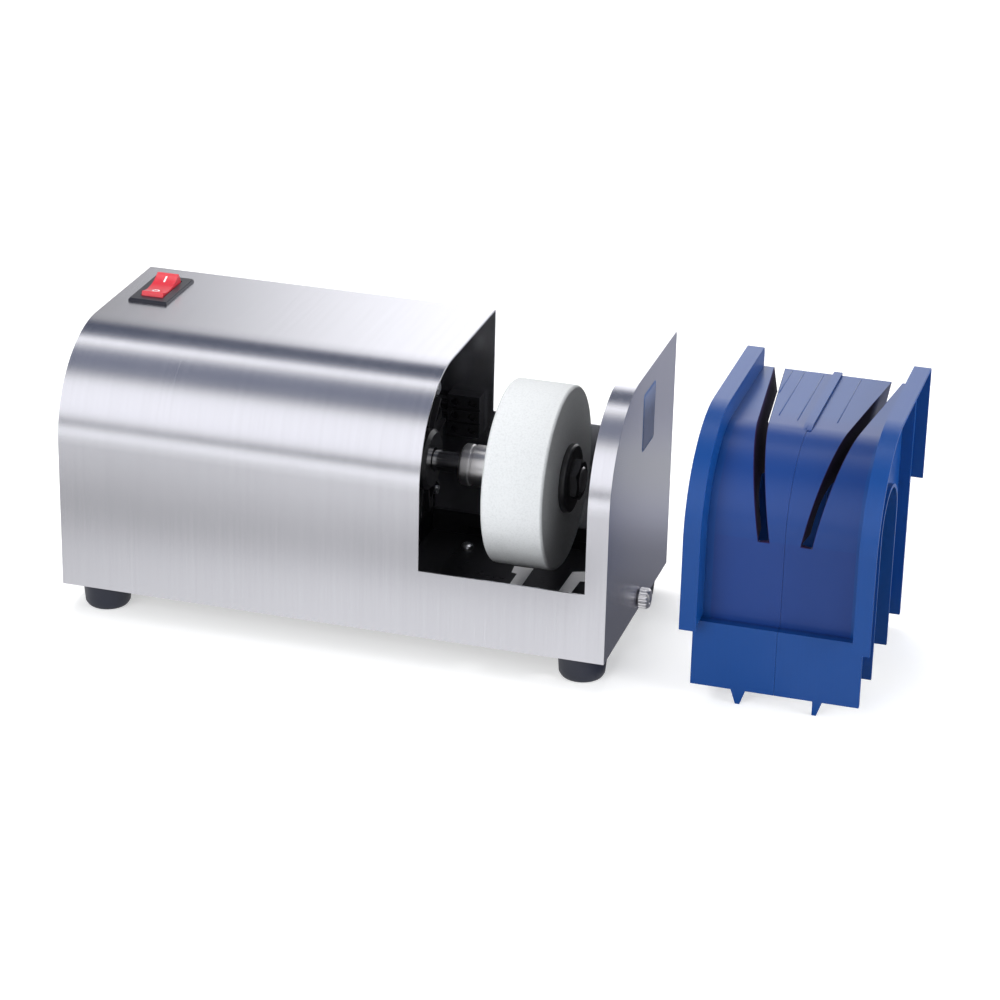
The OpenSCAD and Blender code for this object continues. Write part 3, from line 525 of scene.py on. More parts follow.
@dataclass(frozen=True)
class Coated(Finish):
    """Paint, lacquer or powder on metal, with a slight orange peel and rubbed places."""

    peel: float = 320.0
    depth: float = 0.00008
    clouds: float = 18.0
    scuffs: Spread = (70.0, 220.0, 220.0)
    metal: float = 0.0
    coat: float = 0.0

    def paint(self) -> bpy.types.Material:
        """Orange peel relief, slow clouds and small scuffs."""
        mix = Mixer(self.name)
        peel = mix.noise((self.peel,) * 3, 2.0, 0.5)
        cloud = mix.noise((self.clouds,) * 3, 3.0, 0.55)
        scuff = (mix.noise(self.scuffs, 4.0, 0.7) - 0.62) * 4.0
        colour = mix.blend(
            (cloud * 0.5 + scuff * 0.5).clamped(), toned(self.colour, 0.88), toned(self.colour, 1.35)
        )
        rough = (self.roughness + cloud * 0.08 + scuff * 0.06).clamped()
        normal = mix.bump(peel, 0.12, self.depth)
        return mix.close(
            Base_Color=colour, Metallic=self.metal, Roughness=rough, Normal=normal, Coat_Weight=self.coat,
        )


@dataclass(frozen=True)
class Layered(Finish):
    """Thin layers side by side along X: stacked laminations or wound wire."""

    pitch: float = 900.0
    metal: float = 0.6
    depth: float = 0.0002

    def paint(self) -> bpy.types.Material:
        """Stripes across X with uneven edges."""
        mix = Mixer(self.name)
        wobble = mix.noise((self.pitch * 0.5, 40.0, 40.0), 2.0, 0.5)
        stripe = mix.noise((self.pitch, 6.0, 6.0), 1.0, 0.4)
        factor = stripe * 0.7 + wobble * 0.3
        colour = mix.blend((factor - 0.3) * 2.2, toned(self.colour, 0.5), toned(self.colour, 1.4))
        normal = mix.bump(stripe, 0.4, self.depth)
        return mix.close(Base_Color=colour, Metallic=self.metal, Roughness=self.roughness, Normal=normal)


class Slot(Enum):
    """The finishes by the material slots of the record."""

    STAINLESS = "stainless"
    BAY_STEEL = "bay_steel"
    BLACK_PAINT = "black_paint"
    ZINC = "zinc"
    FOOT_RUBBER = "foot_rubber"
    BLACK_PLASTIC = "black_plastic"
    BRASS = "brass"
    LAMINATION = "lamination"
    WINDING = "winding"
    CAST_BLACK = "cast_black"
    BEARING_STEEL = "bearing_steel"
    TURNED_STEEL = "turned_steel"
    DARK_STEEL = "dark_steel"
    WHITE_ABRASIVE = "white_abrasive"
    GREY_LEAD = "grey_lead"
    ALUMINIUM_CAN = "aluminium_can"
    LEAD_COVER = "lead_cover"
    SWITCH_BLACK = "switch_black"
    SWITCH_RED = "switch_red"
    GUIDE_BLUE = "guide_blue"


FINISHES: dict[Slot, Finish] = {
    Slot.STAINLESS: DrawnMetal("brushed_stainless", (0.62, 0.62, 0.665), 0.25, spread=0.13),
    Slot.BAY_STEEL: Coated("dark_plated_sheet", (0.03, 0.03, 0.035), 0.42, metal=0.3),
    Slot.BLACK_PAINT: Coated("black_lacquer", (0.012, 0.012, 0.015), 0.3),
    Slot.ZINC: DrawnMetal("zinc_plate", (0.6, 0.61, 0.63), 0.28, lines=(500.0, 500.0, 500.0)),
    Slot.FOOT_RUBBER: Moulding("foot_rubber", (0.007, 0.009, 0.02), 0.52, texture=900.0, relief=0.12),
    Slot.BLACK_PLASTIC: Moulding("black_moulding", (0.016, 0.016, 0.02), 0.4, relief=0.1),
    Slot.BRASS: DrawnMetal("turned_brass", (0.72, 0.5, 0.22), 0.3, lines=(2000.0, 20.0, 20.0)),
    Slot.LAMINATION: Layered("lamination_edges", (0.12, 0.115, 0.12), 0.45),
    Slot.WINDING: Layered("varnished_wire", (0.33, 0.11, 0.035), 0.35, pitch=1300.0, metal=0.8),
    Slot.CAST_BLACK: Coated("black_casting", (0.02, 0.02, 0.023), 0.33, peel=420.0, coat=0.25),
    Slot.BEARING_STEEL: DrawnMetal("ground_steel", (0.68, 0.68, 0.7), 0.16, lines=(2600.0, 15.0, 15.0)),
    Slot.TURNED_STEEL: DrawnMetal(
        "turned_steel", (0.8, 0.79, 0.8), 0.3, lines=(3200.0, 18.0, 18.0), relief=0.05,
    ),
    Slot.DARK_STEEL: Coated("black_oxide", (0.028, 0.028, 0.032), 0.34, metal=0.7),
    Slot.WHITE_ABRASIVE: Abrasive("white_grit", (0.65, 0.665, 0.675), 0.85),
    Slot.GREY_LEAD: Coated("cast_bush", (0.42, 0.43, 0.45), 0.5, metal=0.2),
    Slot.ALUMINIUM_CAN: DrawnMetal("drawn_aluminium", (0.75, 0.75, 0.77), 0.3, lines=(30.0, 900.0, 30.0)),
    Slot.LEAD_COVER: Moulding("wire_insulation", (0.02, 0.02, 0.026), 0.45),
    Slot.SWITCH_BLACK: Moulding("switch_moulding", (0.012, 0.013, 0.022), 0.3, relief=0.05),
    Slot.SWITCH_RED: Moulding("red_moulding", (0.62, 0.022, 0.04), 0.28, relief=0.04, coat=0.3),
    Slot.GUIDE_BLUE: SlottedMoulding(
        "blue_moulding", (0.003, 0.046, 0.205), 0.3, texture=1300.0, relief=0.07,
        streaks=(1400.0, 7.0, 7.0), unevenness=0.1, shine=0.3,
    ),
}
LABEL_FACE = Coated("label_film", (0.25, 0.31, 0.5), 0.4)
LABEL_EDGE = Coated("label_border", (0.08, 0.17, 0.42), 0.4)
MARK_PAINT = Coated("white_mark", (0.9, 0.9, 0.93), 0.5)


class Wardrobe:
    """Builds each finish once and hands it out."""

    def __init__(self) -> None:
        """Paints all the finishes."""
        self.materials = {slot: finish.paint() for slot, finish in FINISHES.items()}

    def wear(self, piece: bpy.types.Object, slot: Slot) -> None:
        """Gives a piece one finish."""
        piece.data.materials.clear()
        piece.data.materials.append(self.materials[slot])


# ---------- mesh tools ----------

MERGE = 2e-6
FLAT_ANGLE = math.radians(0.4)


def finished(name: str, mesh: bmesh.types.BMesh, smooth_below: float = 35.0) -> bpy.types.Object:
    """Turns a bmesh into an object at the origin, smooth except over sharp edges.

    Args:
        name: The object's name.
        mesh: Its shape, in metres in the row frame; it is freed.
        smooth_below: Edges with a larger angle stay sharp, in degrees.

    Returns:
        The object, linked to the scene.
    """
    limit = math.radians(smooth_below)
    for face in mesh.faces:
        face.smooth = True
    for edge in mesh.edges:
        edge.smooth = len(edge.link_faces) == 2 and edge.calc_face_angle(math.pi) < limit
    data = bpy.data.meshes.new(name)
    mesh.to_mesh(data)
    mesh.free()
    piece = bpy.data.objects.new(name, data)
    bpy.context.scene.collection.objects.link(piece)
    return piece


def eased(mesh: bmesh.types.BMesh, width: float, sharp_above: float = 30.0, segments: int = 2) -> None:
    """Rounds the sharp edges of a mesh.

    Args:
        mesh: The mesh to change.
        width: Width of the rounding in metres.
        sharp_above: Edges with a larger angle are rounded, in degrees.
        segments: Faces across the rounding.
    """
    limit = math.radians(sharp_above)
    edges = [e for e in mesh.edges if len(e.link_faces) == 2 and e.calc_face_angle(0.0) > limit]
    bmesh.ops.bevel(
        mesh, geom=edges, offset=width, offset_type="OFFSET", segments=segments, profile=0.5,
        affect="EDGES", clamp_overlap=True, material=-1,
    )


def cleaned(mesh: bmesh.types.BMesh, merge: float = MERGE) -> None:
    """Merges points that lie together and joins the triangles of each flat face.

    Args:
        mesh: The mesh to change.
        merge: Points nearer than this become one, in metres.
    """
    bmesh.ops.remove_doubles(mesh, verts=mesh.verts, dist=merge)
    bmesh.ops.dissolve_limit(
        mesh, angle_limit=FLAT_ANGLE, use_dissolve_boundaries=False,
        verts=mesh.verts, edges=mesh.edges, delimit=set(),
    )


def thickened(mesh: bmesh.types.BMesh, shift: Vector) -> None:
    """Gives a sheet a second side.

    Args:
        mesh: The sheet to change.
        shift: From the sheet to its other side.
    """
    grown = bmesh.ops.extrude_face_region(mesh, geom=mesh.faces[:], use_keep_orig=True)["geom"]
    moved = [item for item in grown if isinstance(item, bmesh.types.BMVert)]
    bmesh.ops.translate(mesh, vec=shift, verts=moved)


def flattened(piece: bpy.types.Object) -> None:
    """Lets large faces keep their own normals beside small roundings."""
    modifier = piece.modifiers.new("even_faces", "WEIGHTED_NORMAL")
    modifier.keep_sharp = True
    modifier.weight = 80


# ---------- CAD nodes ----------


@dataclass(frozen=True)
class Rounding:
    """How the edges of one visible node are eased: widths are millimetres and angles are degrees."""

    node: str
    width: float
    sharp_above: float = 30.0
    finish: Slot | None = None


class Dresser:
    """Paints every node and eases the edges of those that show."""

    # The stretches of the folded sheet, and how far each reaches into its neighbours, in millimetres
    sheet_overlaps: tuple[tuple[str, float], ...] = (
        ("housing_wrap", 0.0), ("bay_lip", 0.04), ("bay_back_wall", 0.04), ("end_box_wrap", 0.0),
    )
    sheet_merge: float = 4e-6
    sheet_rounding: float = 0.3
    rounded: tuple[Rounding, ...] = (
        Rounding("left_end_plate", 0.2),
        Rounding("right_end_plate", 0.3),
        Rounding("bay_right_wall", 0.2),
        Rounding("bay_tray", 0.25),
        Rounding("switch_housing", 0.5),
        Rounding("switch_rocker", 0.7),
        Rounding("grinding_wheel", 0.5, 20.0),
        Rounding("hub_sleeve", 0.25),
        Rounding("inner_flange", 0.35),
        Rounding("outer_flange", 0.35),
        Rounding("spindle_nut", 0.5),
        Rounding("rubber_feet", 0.6),
        Rounding("cord_bush", 0.4),
        Rounding("thumbscrew", 0.25, finish=Slot.TURNED_STEEL),
        Rounding("guide_left_half", 0.35),
        Rounding("guide_right_half", 0.35),
    )

    def __init__(self, frame: dict, wardrobe: Wardrobe) -> None:
        """Reads which node wears which slot and rides on which body.

        Args:
            wardrobe: The finishes.
        """
        self.nodes = frame["nodes"]
        self.wardrobe = wardrobe
        self.slots = {row["node"]: Slot(row["material_slot"]) for row in frame["record"]["subparts"]}
        self.bodies = {
            node: body for body, nodes in frame["record"]["behaviour"]["bodies"].items() for node in nodes
        }

    def ease(self, rounding: Rounding) -> bpy.types.Object:
        """Makes a copy of a node with rounded edges that stands for it."""
        source = self.nodes[rounding.node]
        mesh = bmesh.new()
        mesh.from_mesh(source.data)
        cleaned(mesh)
        eased(mesh, rounding.width * MM, rounding.sharp_above)
        piece = finished(rounding.node + "_dressed", mesh)
        flattened(piece)
        slot = rounding.finish or self.slots[rounding.node]
        self.wardrobe.wear(piece, slot)
        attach(piece, self.bodies[rounding.node])
        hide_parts(rounding.node)
        return piece

    def stretched_copy(self, name: str, reach: float) -> bpy.types.Object:
        """Copies a node, with its two ends along X moved outwards by a reach in millimetres."""
        mesh = bmesh.new()
        mesh.from_mesh(self.nodes[name].data)
        bmesh.ops.remove_doubles(mesh, verts=mesh.verts, dist=MERGE)
        places = [v.co.x for v in mesh.verts]
        middle = (min(places) + max(places)) / 2
        for vert in mesh.verts:
            vert.co.x += math.copysign(reach * MM, vert.co.x - middle)
        return finished(name + "_part", mesh)

    def fold_sheet(self) -> bpy.types.Object:
        """Joins the stretches of the folded housing sheet into one piece with eased edges."""
        names = [name for name, _ in self.sheet_overlaps]
        whole, *others = [self.stretched_copy(name, reach) for name, reach in self.sheet_overlaps]
        for part in others:
            modifier = whole.modifiers.new(part.name, "BOOLEAN")
            modifier.operation = "UNION"
            modifier.solver = "EXACT"
            modifier.object = part
        bpy.context.view_layer.update()
        shape = whole.evaluated_get(bpy.context.evaluated_depsgraph_get()).to_mesh()
        mesh = bmesh.new()
        mesh.from_mesh(shape)
        for part in (whole, *others):
            bpy.data.objects.remove(part)
        cleaned(mesh, self.sheet_merge)
        eased(mesh, self.sheet_rounding * MM)
        piece = finished("housing_sheet_dressed", mesh)
        flattened(piece)
        self.wardrobe.wear(piece, Slot.STAINLESS)
        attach(piece, self.bodies[names[0]])
        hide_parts(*names)
        return piece

    def build(self) -> None:
        """Gives each node the finish of its slot, eases those that show and reports each piece."""
        for name, piece in self.nodes.items():
            self.wardrobe.wear(piece, self.slots[name])
        pieces = [self.fold_sheet()] + [self.ease(rounding) for rounding in self.rounded]
        for piece in pieces:
            LOG.info("%s: %d faces", piece.name, len(piece.data.polygons))


# ---------- small pieces of the scene alone ----------

# Outlines of the marks on the bay's floor, in millimetres as in SmallPieces
TRAY_MARKS: dict[str, Pairs] = {
    "tray_mark_one": (
        (246.2, 105.8), (258.1, 105.9), (258.1, 70.0), (250.7, 70.0), (250.7, 95.9), (247.1, 96.6),
    ),
    "tray_mark_two": (
        (281.3, 109.3), (288.8, 112.0), (299.0, 110.0), (299.0, 100.0), (289.1, 97.8), (288.0, 70.0),
        (280.6, 70.0),
    ),
}
# Each line on the guide's top: its distance from the seam, and its front end
GUIDE_LINES: Pairs = ((-26.6, 112.0), (-19.4, 78.0), (-8.0, 74.0), (14.0, 78.0))


@dataclass
class SmallPieces:
    """Label, painted marks, fine lines and the walls of the knife slots, which are too thin for solids.

    Lengths are millimetres from the housing's left end, its front and the bench.
    """

    wardrobe: Wardrobe
    body_length: float = 330.0
    tray_top: float = 19.5
    mark_thick: float = 0.1
    label_near: Vector = Vector((71.0, 118.5))
    label_far: Vector = Vector((97.5, 154.0))
    label_border: float = 1.6
    label_corner: float = 2.4
    label_thick: tuple[float, float] = (0.12, 0.2)
    panel_top: float = 149.8
    panel_back: float = 148.0
    line_width: float = 0.55
    line_height: float = 0.5
    line_rounding: float = 0.12
    switch_middle: Vector = Vector((22.65, 105.5, 164.0))
    switch_tilt: float = math.radians(8.0)
    switch_mark_thick: float = 0.12
    bar_half: Vector = Vector((0.55, 2.4, 1.0))
    bar_y: float = 7.6
    ring_radii: tuple[float, float] = (1.5, 2.3)
    ring_y: float = -7.4
    dish_radius: float = 27.0
    dish_depth: float = 5.6
    bend_radius: float = 48.6
    wall_foot: float = 15.0
    wall_top: float = 30.0
    wall_flat: float = 36.0
    wall_thick: float = 1.2
    wall_gap: float = 0.02

    def dress(self, piece: bpy.types.Object, finish: bpy.types.Material, body: str) -> None:
        """Paints a piece and hangs it on its body.

        Args:
            piece: The piece.
            finish: Its material.
            body: The body that it moves with.
        """
        piece.data.materials.clear()
        piece.data.materials.append(finish)
        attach(piece, body)
        LOG.info("%s: %d faces", piece.name, len(piece.data.polygons))

    def plate(
        self, name: str, corners: list[Vector], thickness: Vector, rounding: float = 0.0,
    ) -> bpy.types.Object:
        """Makes a flat plate from its outline.

        Args:
            name: The piece's name.
            corners: The outline in metres.
            thickness: From the outline to the plate's other side, in metres.
            rounding: Radius of its corners in metres.

        Returns:
            The plate.
        """
        mesh = bmesh.new()
        mesh.faces.new([mesh.verts.new(corner) for corner in corners])
        if rounding:
            bmesh.ops.bevel(
                mesh, geom=mesh.verts[:], offset=rounding, offset_type="OFFSET", segments=5, profile=0.5,
                affect="VERTICES", clamp_overlap=True, material=-1,
            )
        thickened(mesh, thickness)
        bmesh.ops.recalc_face_normals(mesh, faces=mesh.faces)
        return finished(name, mesh)

    def label(self) -> None:
        """The plain label on the right end: a pale field with a darker border."""
        layers = (
            ("label_border", LABEL_EDGE, 0.0, self.label_thick[0]),
            ("label_field", LABEL_FACE, self.label_border, self.label_thick[1]),
        )
        for name, finish, inset, thick in layers:
            near, far = self.label_near + Vector((inset, inset)), self.label_far - Vector((inset, inset))
            outline = ((near.x, near.y), (far.x, near.y), (far.x, far.y), (near.x, far.y))
            corners = [at(self.body_length, y, z) for y, z in outline]
            rounding = (self.label_corner - inset * 0.8) * MM
            piece = self.plate(name, corners, Vector((thick * MM, 0.0, 0.0)), rounding)
            self.dress(piece, finish.paint(), "housing")

    def tray_marks(self) -> None:
        """Two slanting setting marks painted on the floor of the bay."""
        paint = MARK_PAINT.paint()
        for name, outline in TRAY_MARKS.items():
            corners = [at(x, y, self.tray_top) for x, y in outline]
            piece = self.plate(name, corners, Vector((0.0, 0.0, self.mark_thick * MM)))
            self.dress(piece, paint, "housing")

    def on_rocker(self, name: str, mesh: bmesh.types.BMesh) -> bpy.types.Object:
        """Lays a mark, drawn in millimetres round the rocker's middle, on the rocker's dish."""
        centre = self.dish_radius + self.dish_depth
        for vert in mesh.verts:
            vert.co.z += centre - math.sqrt(self.dish_radius**2 - vert.co.y**2)
        turn = Matrix.Rotation(self.switch_tilt, 4, "X")
        place = Matrix.Translation(at(*self.switch_middle)) @ Matrix.Scale(MM, 4) @ turn
        bmesh.ops.transform(mesh, matrix=place, verts=mesh.verts)
        bmesh.ops.recalc_face_normals(mesh, faces=mesh.faces)
        return finished(name, mesh)

    def rocker_marks(self) -> None:
        """The line and the ring that tell on from off."""
        paint = MARK_PAINT.paint()
        line = bmesh.new()
        bmesh.ops.create_grid(line, x_segments=1, y_segments=8, size=1.0)
        bmesh.ops.scale(line, vec=self.bar_half, verts=line.verts)
        bmesh.ops.translate(line, vec=(0.0, self.bar_y, 0.0), verts=line.verts)
        ring = bmesh.new()
        circles = [bmesh.ops.create_circle(ring, segments=40, radius=r)["verts"] for r in self.ring_radii]
        rims = {e for circle in circles for v in circle for e in v.link_edges}
        bmesh.ops.bridge_loops(ring, edges=list(rims))
        bmesh.ops.translate(ring, vec=(0.0, self.ring_y, 0.0), verts=ring.verts)
        for name, mesh in (("switch_line_mark", line), ("switch_ring_mark", ring)):
            thickened(mesh, Vector((0.0, 0.0, self.switch_mark_thick)))
            self.dress(self.on_rocker(name, mesh), paint, "rocker")

    def guide_lines(self) -> None:
        """Fine raised lines along the flat top of the guide."""
        for k, (out, front) in enumerate(GUIDE_LINES):
            mesh = bmesh.new()
            bmesh.ops.create_cube(mesh, size=1.0)
            length = self.panel_back - front
            size = Vector((self.line_width, length, self.line_height)) * MM
            bmesh.ops.scale(mesh, vec=size, verts=mesh.verts)
            middle = at(KNIFE_SLOT.seam + out, front + length / 2, self.panel_top)
            bmesh.ops.translate(mesh, vec=middle, verts=mesh.verts)
            eased(mesh, self.line_rounding * MM)
            piece = finished(f"guide_line_{k + 1}", mesh)
            self.dress(piece, self.wardrobe.materials[Slot.GUIDE_BLUE], "knife_guide")

    def wall_point(self, along: float, across: float) -> tuple[float, float]:
        """Finds a point of a slot's wall, seen from the side.

        Args:
            along: Millimetres from the slot's foot along the panel, up the bend and over the flat top.
            across: 0 at the panel and 1 at the wall's lower edge.

        Returns:
            Its Y and Z.
        """
        turn = min(along / self.bend_radius, math.pi / 2)
        flat = max(0.0, along - self.bend_radius * math.pi / 2)
        growth = min(1.0, max(0.0, along / self.bend_radius - 0.5))
        reach = self.bend_radius - across * (self.wall_foot + (self.wall_top - self.wall_foot) * growth)
        return KNIFE_SLOT.bend_y - reach * math.cos(turn) + flat, KNIFE_SLOT.bend_z + reach * math.sin(turn)

    def slot_walls(self) -> None:
        """The thin walls that hang under the panel on both sides of each slot."""
        slot = KNIFE_SLOT
        length = self.bend_radius * math.pi / 2 + self.wall_flat
        for side, half in ((-1.0, "left"), (1.0, "right")):
            for wall, where in ((-1.0, "inner"), (1.0, "outer")):
                mesh = bmesh.new()
                bmesh.ops.create_grid(mesh, x_segments=4, y_segments=30, size=0.5)
                for vert in mesh.verts:
                    y, z = self.wall_point((vert.co.y + 0.5) * length, vert.co.x + 0.5)
                    out = slot.middle(y, z) + wall * (slot.half_width + self.wall_gap)
                    vert.co = at(slot.seam + side * out, y, z)
                thickened(mesh, Vector((side * wall * self.wall_thick * MM, 0.0, 0.0)))
                bmesh.ops.recalc_face_normals(mesh, faces=mesh.faces)
                piece = finished(f"slot_wall_{half}_{where}", mesh)
                self.dress(piece, self.wardrobe.materials[Slot.GUIDE_BLUE], "knife_guide")

    def build(self) -> None:
        """Makes all of them."""
        self.label()
        self.tray_marks()
        self.rocker_marks()
        self.guide_lines()
        self.slot_walls()


# ---------- studio ----------


@dataclass(frozen=True)
class Viewpoint:
    """Where the camera stands and how it is turned, in metres; the lens is in millimetres."""

    place: Vector
    right: Vector
    forward: Vector
    lens: float
    sensor: float = 36.0
    nearest: float = 0.05
    farthest: float = 60.0

    def build(self) -> None:
        """Makes the camera and sets it as the scene's."""
        data = bpy.data.cameras.new("camera")
        data.lens = self.lens
        data.sensor_width = self.sensor
        data.clip_start = self.nearest
        data.clip_end = self.farthest
        camera = bpy.data.objects.new("camera", data)
        bpy.context.scene.collection.objects.link(camera)
        up = self.right.cross(self.forward).normalized()
        turn = Matrix((self.right.normalized(), up, -self.forward.normalized())).transposed()
        camera.matrix_world = Matrix.Translation(self.place) @ turn.to_4x4()
        bpy.context.scene.camera = camera


@dataclass(frozen=True)
class Panel:
    """A long reflector or flag beside the bench, given by two angles round the machine.

    Its brightness may be given at places along X instead.
    """

    name: str
    start: float
    end: float
    brightness: float
    tint: Colour = WHITE
    distance: float = 3.2
    half_width: float = 4.0
    fades: Pairs = ()


@dataclass(frozen=True)
class Card:
    """A grey card on the bench that only reflections see.

    Its brightness is given along Y, and a factor for it may be given along X.
    """

    name: str
    left: float
    right: float
    fades: Pairs
    sideways: Pairs = ()
    tint: Colour = WHITE


@dataclass(frozen=True)
class Lamp:
    """A square area lamp: its place and side are in metres and its power in watts."""

    name: str
    place: Vector
    size: float
    power: float
    tint: Colour


class Studio:
    """A plain pale floor, soft lamps, and the panels and cards that the steel reflects."""

    lamps: tuple[Lamp, ...] = (
        Lamp("key", Vector((-0.4, 0.5, 1.9)), 1.3, 26.0, (1.0, 0.99, 0.98)),
        Lamp("fill", Vector((-0.6, -1.8, 0.75)), 1.4, 25.0, (0.98, 0.99, 1.0)),
        Lamp("side", Vector((1.9, -0.3, 0.5)), 1.2, 40.0, (0.98, 0.99, 1.0)),
    )
    lamp_aim: Vector = Vector((0.0, 0.0, 0.08))
    panel_axis: Vector = Vector((0.0, 0.0, 0.1))
    panel_steps: int = 12
    card_height: float = 0.0004
    floor_half: float = 9.0
    paper: Colour = (0.86, 0.86, 0.86)
    lit_paper: Colour = (0.7, 0.7, 0.7)
    paper_lift: float = 0.5
    room: Colour = (0.95, 0.97, 1.0)
    room_light: float = 0.42
    panels: tuple[Panel, ...] = (
        Panel("front_flag", -9.0, 5.5, 0.08, (0.85, 0.9, 1.0)),
        Panel("front_softbox", 9.0, 50.0, 1.4, (1.0, 1.0, 1.02)),
        Panel("front_softbox_edge", 50.0, 56.0, 1.15),
        Panel("front_softbox_fade", 56.0, 62.0, 0.55, (0.95, 0.97, 1.0)),
        Panel("upper_flag", 62.0, 90.0, 0.34, (0.7, 0.76, 1.0)),
        Panel("top_softbox_edge", 90.0, 97.0, 0.85),
        Panel("top_softbox", 97.0, 106.6, 2.0),
        Panel("rear_flag", 106.6, 134.0, 0.13, (0.42, 0.55, 1.0)),
        Panel(
            "rear_softbox", 134.0, 176.0, 3.0, (0.99, 0.99, 1.0),
            fades=((-1.9, 0.28), (-1.52, 0.43), (-1.35, 0.72), (-1.17, 1.22), (-1.05, 1.55), (-0.95, 1.65),
                   (-0.8, 1.65), (-0.66, 1.5), (-0.5, 3.0), (-0.42, 2.8), (-0.37, 2.4), (-0.29, 2.2),
                   (-0.2, 1.9), (0.7, 1.2)),
        ),
    )
    cards: tuple[Card, ...] = (
        Card(
            "front_card", -0.75, 0.047,
            ((-0.55, 1.08), (-0.295, 1.06), (-0.275, 0.88), (-0.26, 0.74), (-0.245, 0.61), (-0.23, 0.53),
             (-0.215, 0.48), (-0.203, 0.5), (-0.195, 0.64), (-0.187, 0.82), (-0.175, 0.93), (-0.16, 1.0),
             (-0.0756, 1.04)),
            sideways=((-0.75, 0.82), (-0.27, 0.86), (-0.19, 0.94), (-0.1, 1.0), (0.047, 1.03)),
        ),
        Card(
            "front_card_end", 0.047, 0.6,
            ((-0.55, 0.95), (-0.32, 0.8), (-0.27, 0.85), (-0.23, 1.0), (-0.16, 1.04), (-0.0756, 1.06)),
        ),
        Card(
            "end_card", 0.0915, 0.95,
            ((-0.25, 0.11), (0.02, 0.14), (0.06, 0.16), (0.09, 0.21), (0.12, 0.23), (0.145, 0.3),
             (0.17, 0.41), (0.2, 0.49), (0.23, 0.51), (0.26, 0.52), (0.29, 0.49), (0.32, 0.44),
             (0.35, 0.4), (0.42, 0.42), (1.2, 0.42)),
            tint=(0.93, 0.95, 1.12),
        ),
    )

    def hang(self, lamp: Lamp) -> None:
        """Hangs one lamp, which reflections don't show."""
        data = bpy.data.lights.new(lamp.name, "AREA")
        data.shape = "SQUARE"
        data.size = lamp.size
        data.energy = lamp.power
        data.color = lamp.tint
        light = bpy.data.objects.new(lamp.name, data)
        bpy.context.scene.collection.objects.link(light)
        light.location = lamp.place
        light.rotation_mode = "QUATERNION"
        light.rotation_quaternion = (self.lamp_aim - lamp.place).to_track_quat("-Z", "Y")
        light.visible_glossy = False

    def glowing(
        self, name: str, colour: Colour, strength: float, fades: Pairs = (), axis: int = 0,
        crossed: Pairs = (),
    ) -> bpy.types.Material:
        """A glowing material for a panel or a card.

        Args:
            name: The material's name.
            colour: Its colour.
            strength: Its greatest brightness, where 1 is white.
            fades: Places in metres and the brightness there, where it isn't the same all over.
            axis: The axis that the places are measured along.
            crossed: Places along X and a factor for the brightness there.

        Returns:
            The material.
        """
        mix = Mixer(name)
        shade: Feed = (*colour, 1.0)
        power: Feed = strength
        if fades:
            shade = self.stops_along(mix, axis, colour, strength, fades).outputs[0]
        if crossed:
            power = Tone(mix, self.stops_along(mix, 0, WHITE, 1.0, crossed).outputs[0]) * strength
        glow = mix.node("ShaderNodeEmission", {}, {"Color": shade, "Strength": power})
        mix.node("ShaderNodeOutputMaterial", {}, {"Surface": glow.outputs[0]})
        return mix.material

    def stops_along(
        self, mix: Mixer, axis: int, colour: Colour, whole: float, fades: Pairs,
    ) -> bpy.types.Node:
        """Makes a ramp of brightness with its stops at places along an axis, where whole counts as 1."""
        first, last = fades[0][0], fades[-1][0]
        along = (mix.axes()[axis] - first) * (1.0 / (last - first))
        stops = [((where - first) / (last - first), toned(colour, level / whole)) for where, level in fades]
        return mix.node("ShaderNodeValToRGB", {"stops": stops}, {0: along})

    def for_reflections(self, piece: bpy.types.Object) -> None:
        """Hides a stage piece from everything but reflections."""
        for rays in ("camera", "diffuse", "transmission", "volume_scatter", "shadow"):
            setattr(piece, f"visible_{rays}", False)

    def lay_card(self, card: Card) -> None:
        """Lays one card flat on the bench."""
        front, back = card.fades[0][0], card.fades[-1][0]
        mesh = bmesh.new()
        bmesh.ops.create_grid(mesh, x_segments=1, y_segments=1, size=0.5)
        bmesh.ops.scale(mesh, vec=(card.right - card.left, back - front, 1.0), verts=mesh.verts)
        middle = Vector(((card.left + card.right) / 2, (front + back) / 2, self.card_height))
        bmesh.ops.translate(mesh, vec=middle, verts=mesh.verts)
        piece = finished(card.name, mesh)
        peak = max(level for _, level in card.fades)
        piece.data.materials.append(self.glowing(card.name, card.tint, peak, card.fades, 1, card.sideways))
        self.for_reflections(piece)

    def raise_panel(self, panel: Panel) -> None:
        """Bends one panel round the machine's long axis, where only reflections see it."""
        mesh = bmesh.new()
        start = math.radians(panel.start)
        centre = self.panel_axis
        arm = Vector((0.0, -math.cos(start), math.sin(start))) * panel.distance
        ends = [mesh.verts.new(centre + arm + Vector((s * panel.half_width, 0.0, 0.0))) for s in (-1.0, 1.0)]
        edge = mesh.edges.new(ends)
        bmesh.ops.spin(
            mesh, geom=[*ends, edge], cent=centre, axis=(-1.0, 0.0, 0.0),
            angle=math.radians(panel.end - panel.start), steps=self.panel_steps, use_merge=False,
        )
        piece = finished(panel.name, mesh)
        piece.data.materials.append(self.glowing(panel.name, panel.tint, panel.brightness, panel.fades))
        self.for_reflections(piece)

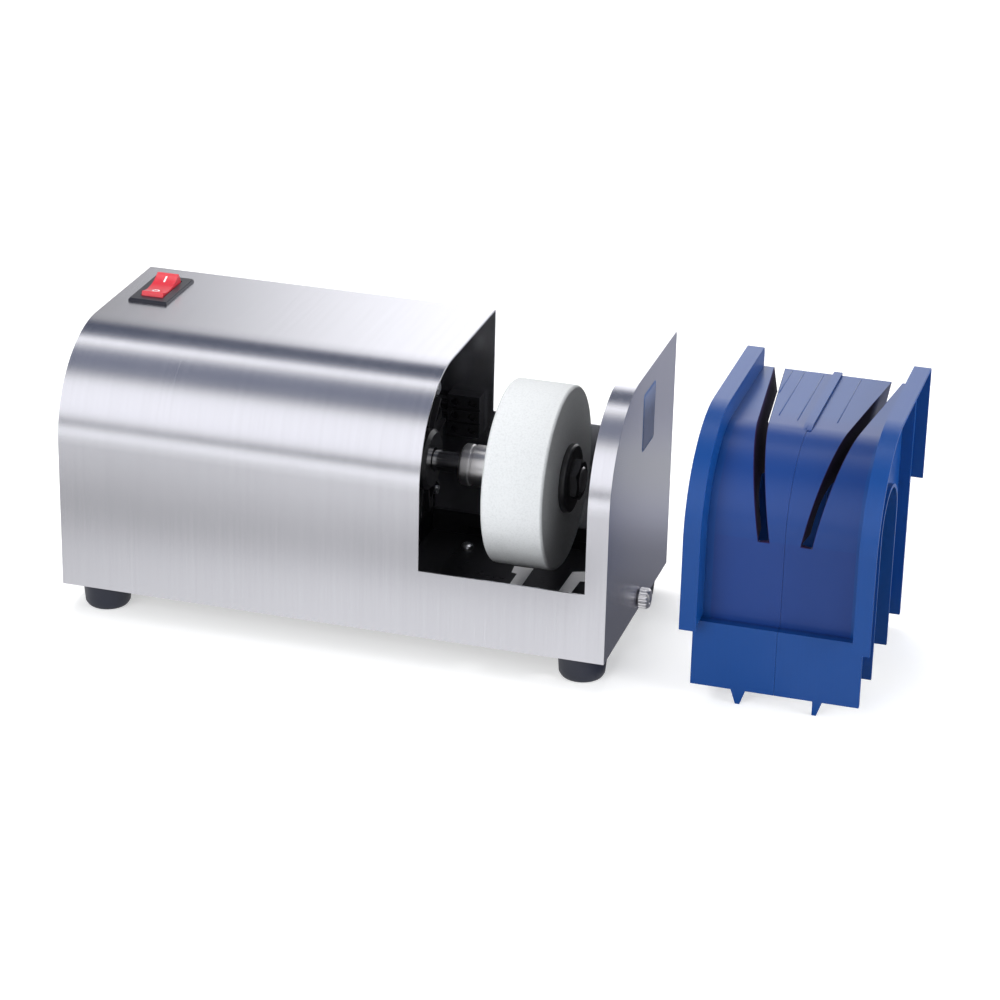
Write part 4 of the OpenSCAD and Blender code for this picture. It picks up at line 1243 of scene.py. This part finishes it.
    def lay_floor(self) -> None:
        """Makes the floor: white paper that keeps the shadow of what stands on it."""
        mesh = bmesh.new()
        bmesh.ops.create_grid(mesh, x_segments=1, y_segments=1, size=self.floor_half)
        floor = finished("floor", mesh)
        mix = Mixer("white_paper")
        paper = mix.node("ShaderNodeBsdfDiffuse", {}, {"Color": (*self.paper, 1.0)})
        bright = mix.node("ShaderNodeBsdfDiffuse", {}, {"Color": (*self.lit_paper, 1.0)})
        lift = mix.node("ShaderNodeEmission", {}, {"Color": (*WHITE, 1.0), "Strength": self.paper_lift})
        lit = mix.node("ShaderNodeAddShader", {}, {0: bright.outputs[0], 1: lift.outputs[0]})
        both = mix.node("ShaderNodeMixShader", {}, {0: mix.seen(), 1: paper.outputs[0], 2: lit.outputs[0]})
        mix.node("ShaderNodeOutputMaterial", {}, {"Surface": both.outputs[0]})
        floor.data.materials.append(mix.material)

    def light_world(self) -> None:
        """Sets the even light of the room, and white where rays see the room itself."""
        world = bpy.data.worlds.new("room")
        bpy.context.scene.world = world
        world.use_nodes = True
        graph = Graph(world.node_tree)
        lights = ((self.room, self.room_light), (WHITE, 1.0))
        dim, white = (
            graph.node("ShaderNodeBackground", {}, {"Color": (*colour, 1.0), "Strength": strength})
            for colour, strength in lights
        )
        inputs = {0: graph.seen(), 1: dim.outputs[0], 2: white.outputs[0]}
        both = graph.node("ShaderNodeMixShader", {}, inputs)
        graph.node("ShaderNodeOutputWorld", {}, {"Surface": both.outputs[0]})

    def build(self) -> None:
        """Floor, room, lamps, panels and cards."""
        self.lay_floor()
        self.light_world()
        for lamp in self.lamps:
            self.hang(lamp)
        for panel in self.panels:
            self.raise_panel(panel)
        for card in self.cards:
            self.lay_card(card)
        bpy.context.scene.view_settings.view_transform = "Standard"


VIEW = Viewpoint(
    place=Vector((0.490771, -1.674591, 0.839308)),
    right=Vector((0.957602, 0.287320, 0.021117)),
    forward=Vector((-0.255082, 0.879658, -0.401417)),
    lens=117.445,
)


def main() -> None:
    """Builds everything in order."""
    logging.basicConfig(level=logging.INFO, format="%(name)s: %(message)s")
    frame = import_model()
    VIEW.build()
    LOG.info("camera set")
    Studio().build()
    LOG.info("studio built")
    wardrobe = Wardrobe()
    Dresser(frame, wardrobe).build()
    SmallPieces(wardrobe).build()


if __name__ == "__main__":
    main()
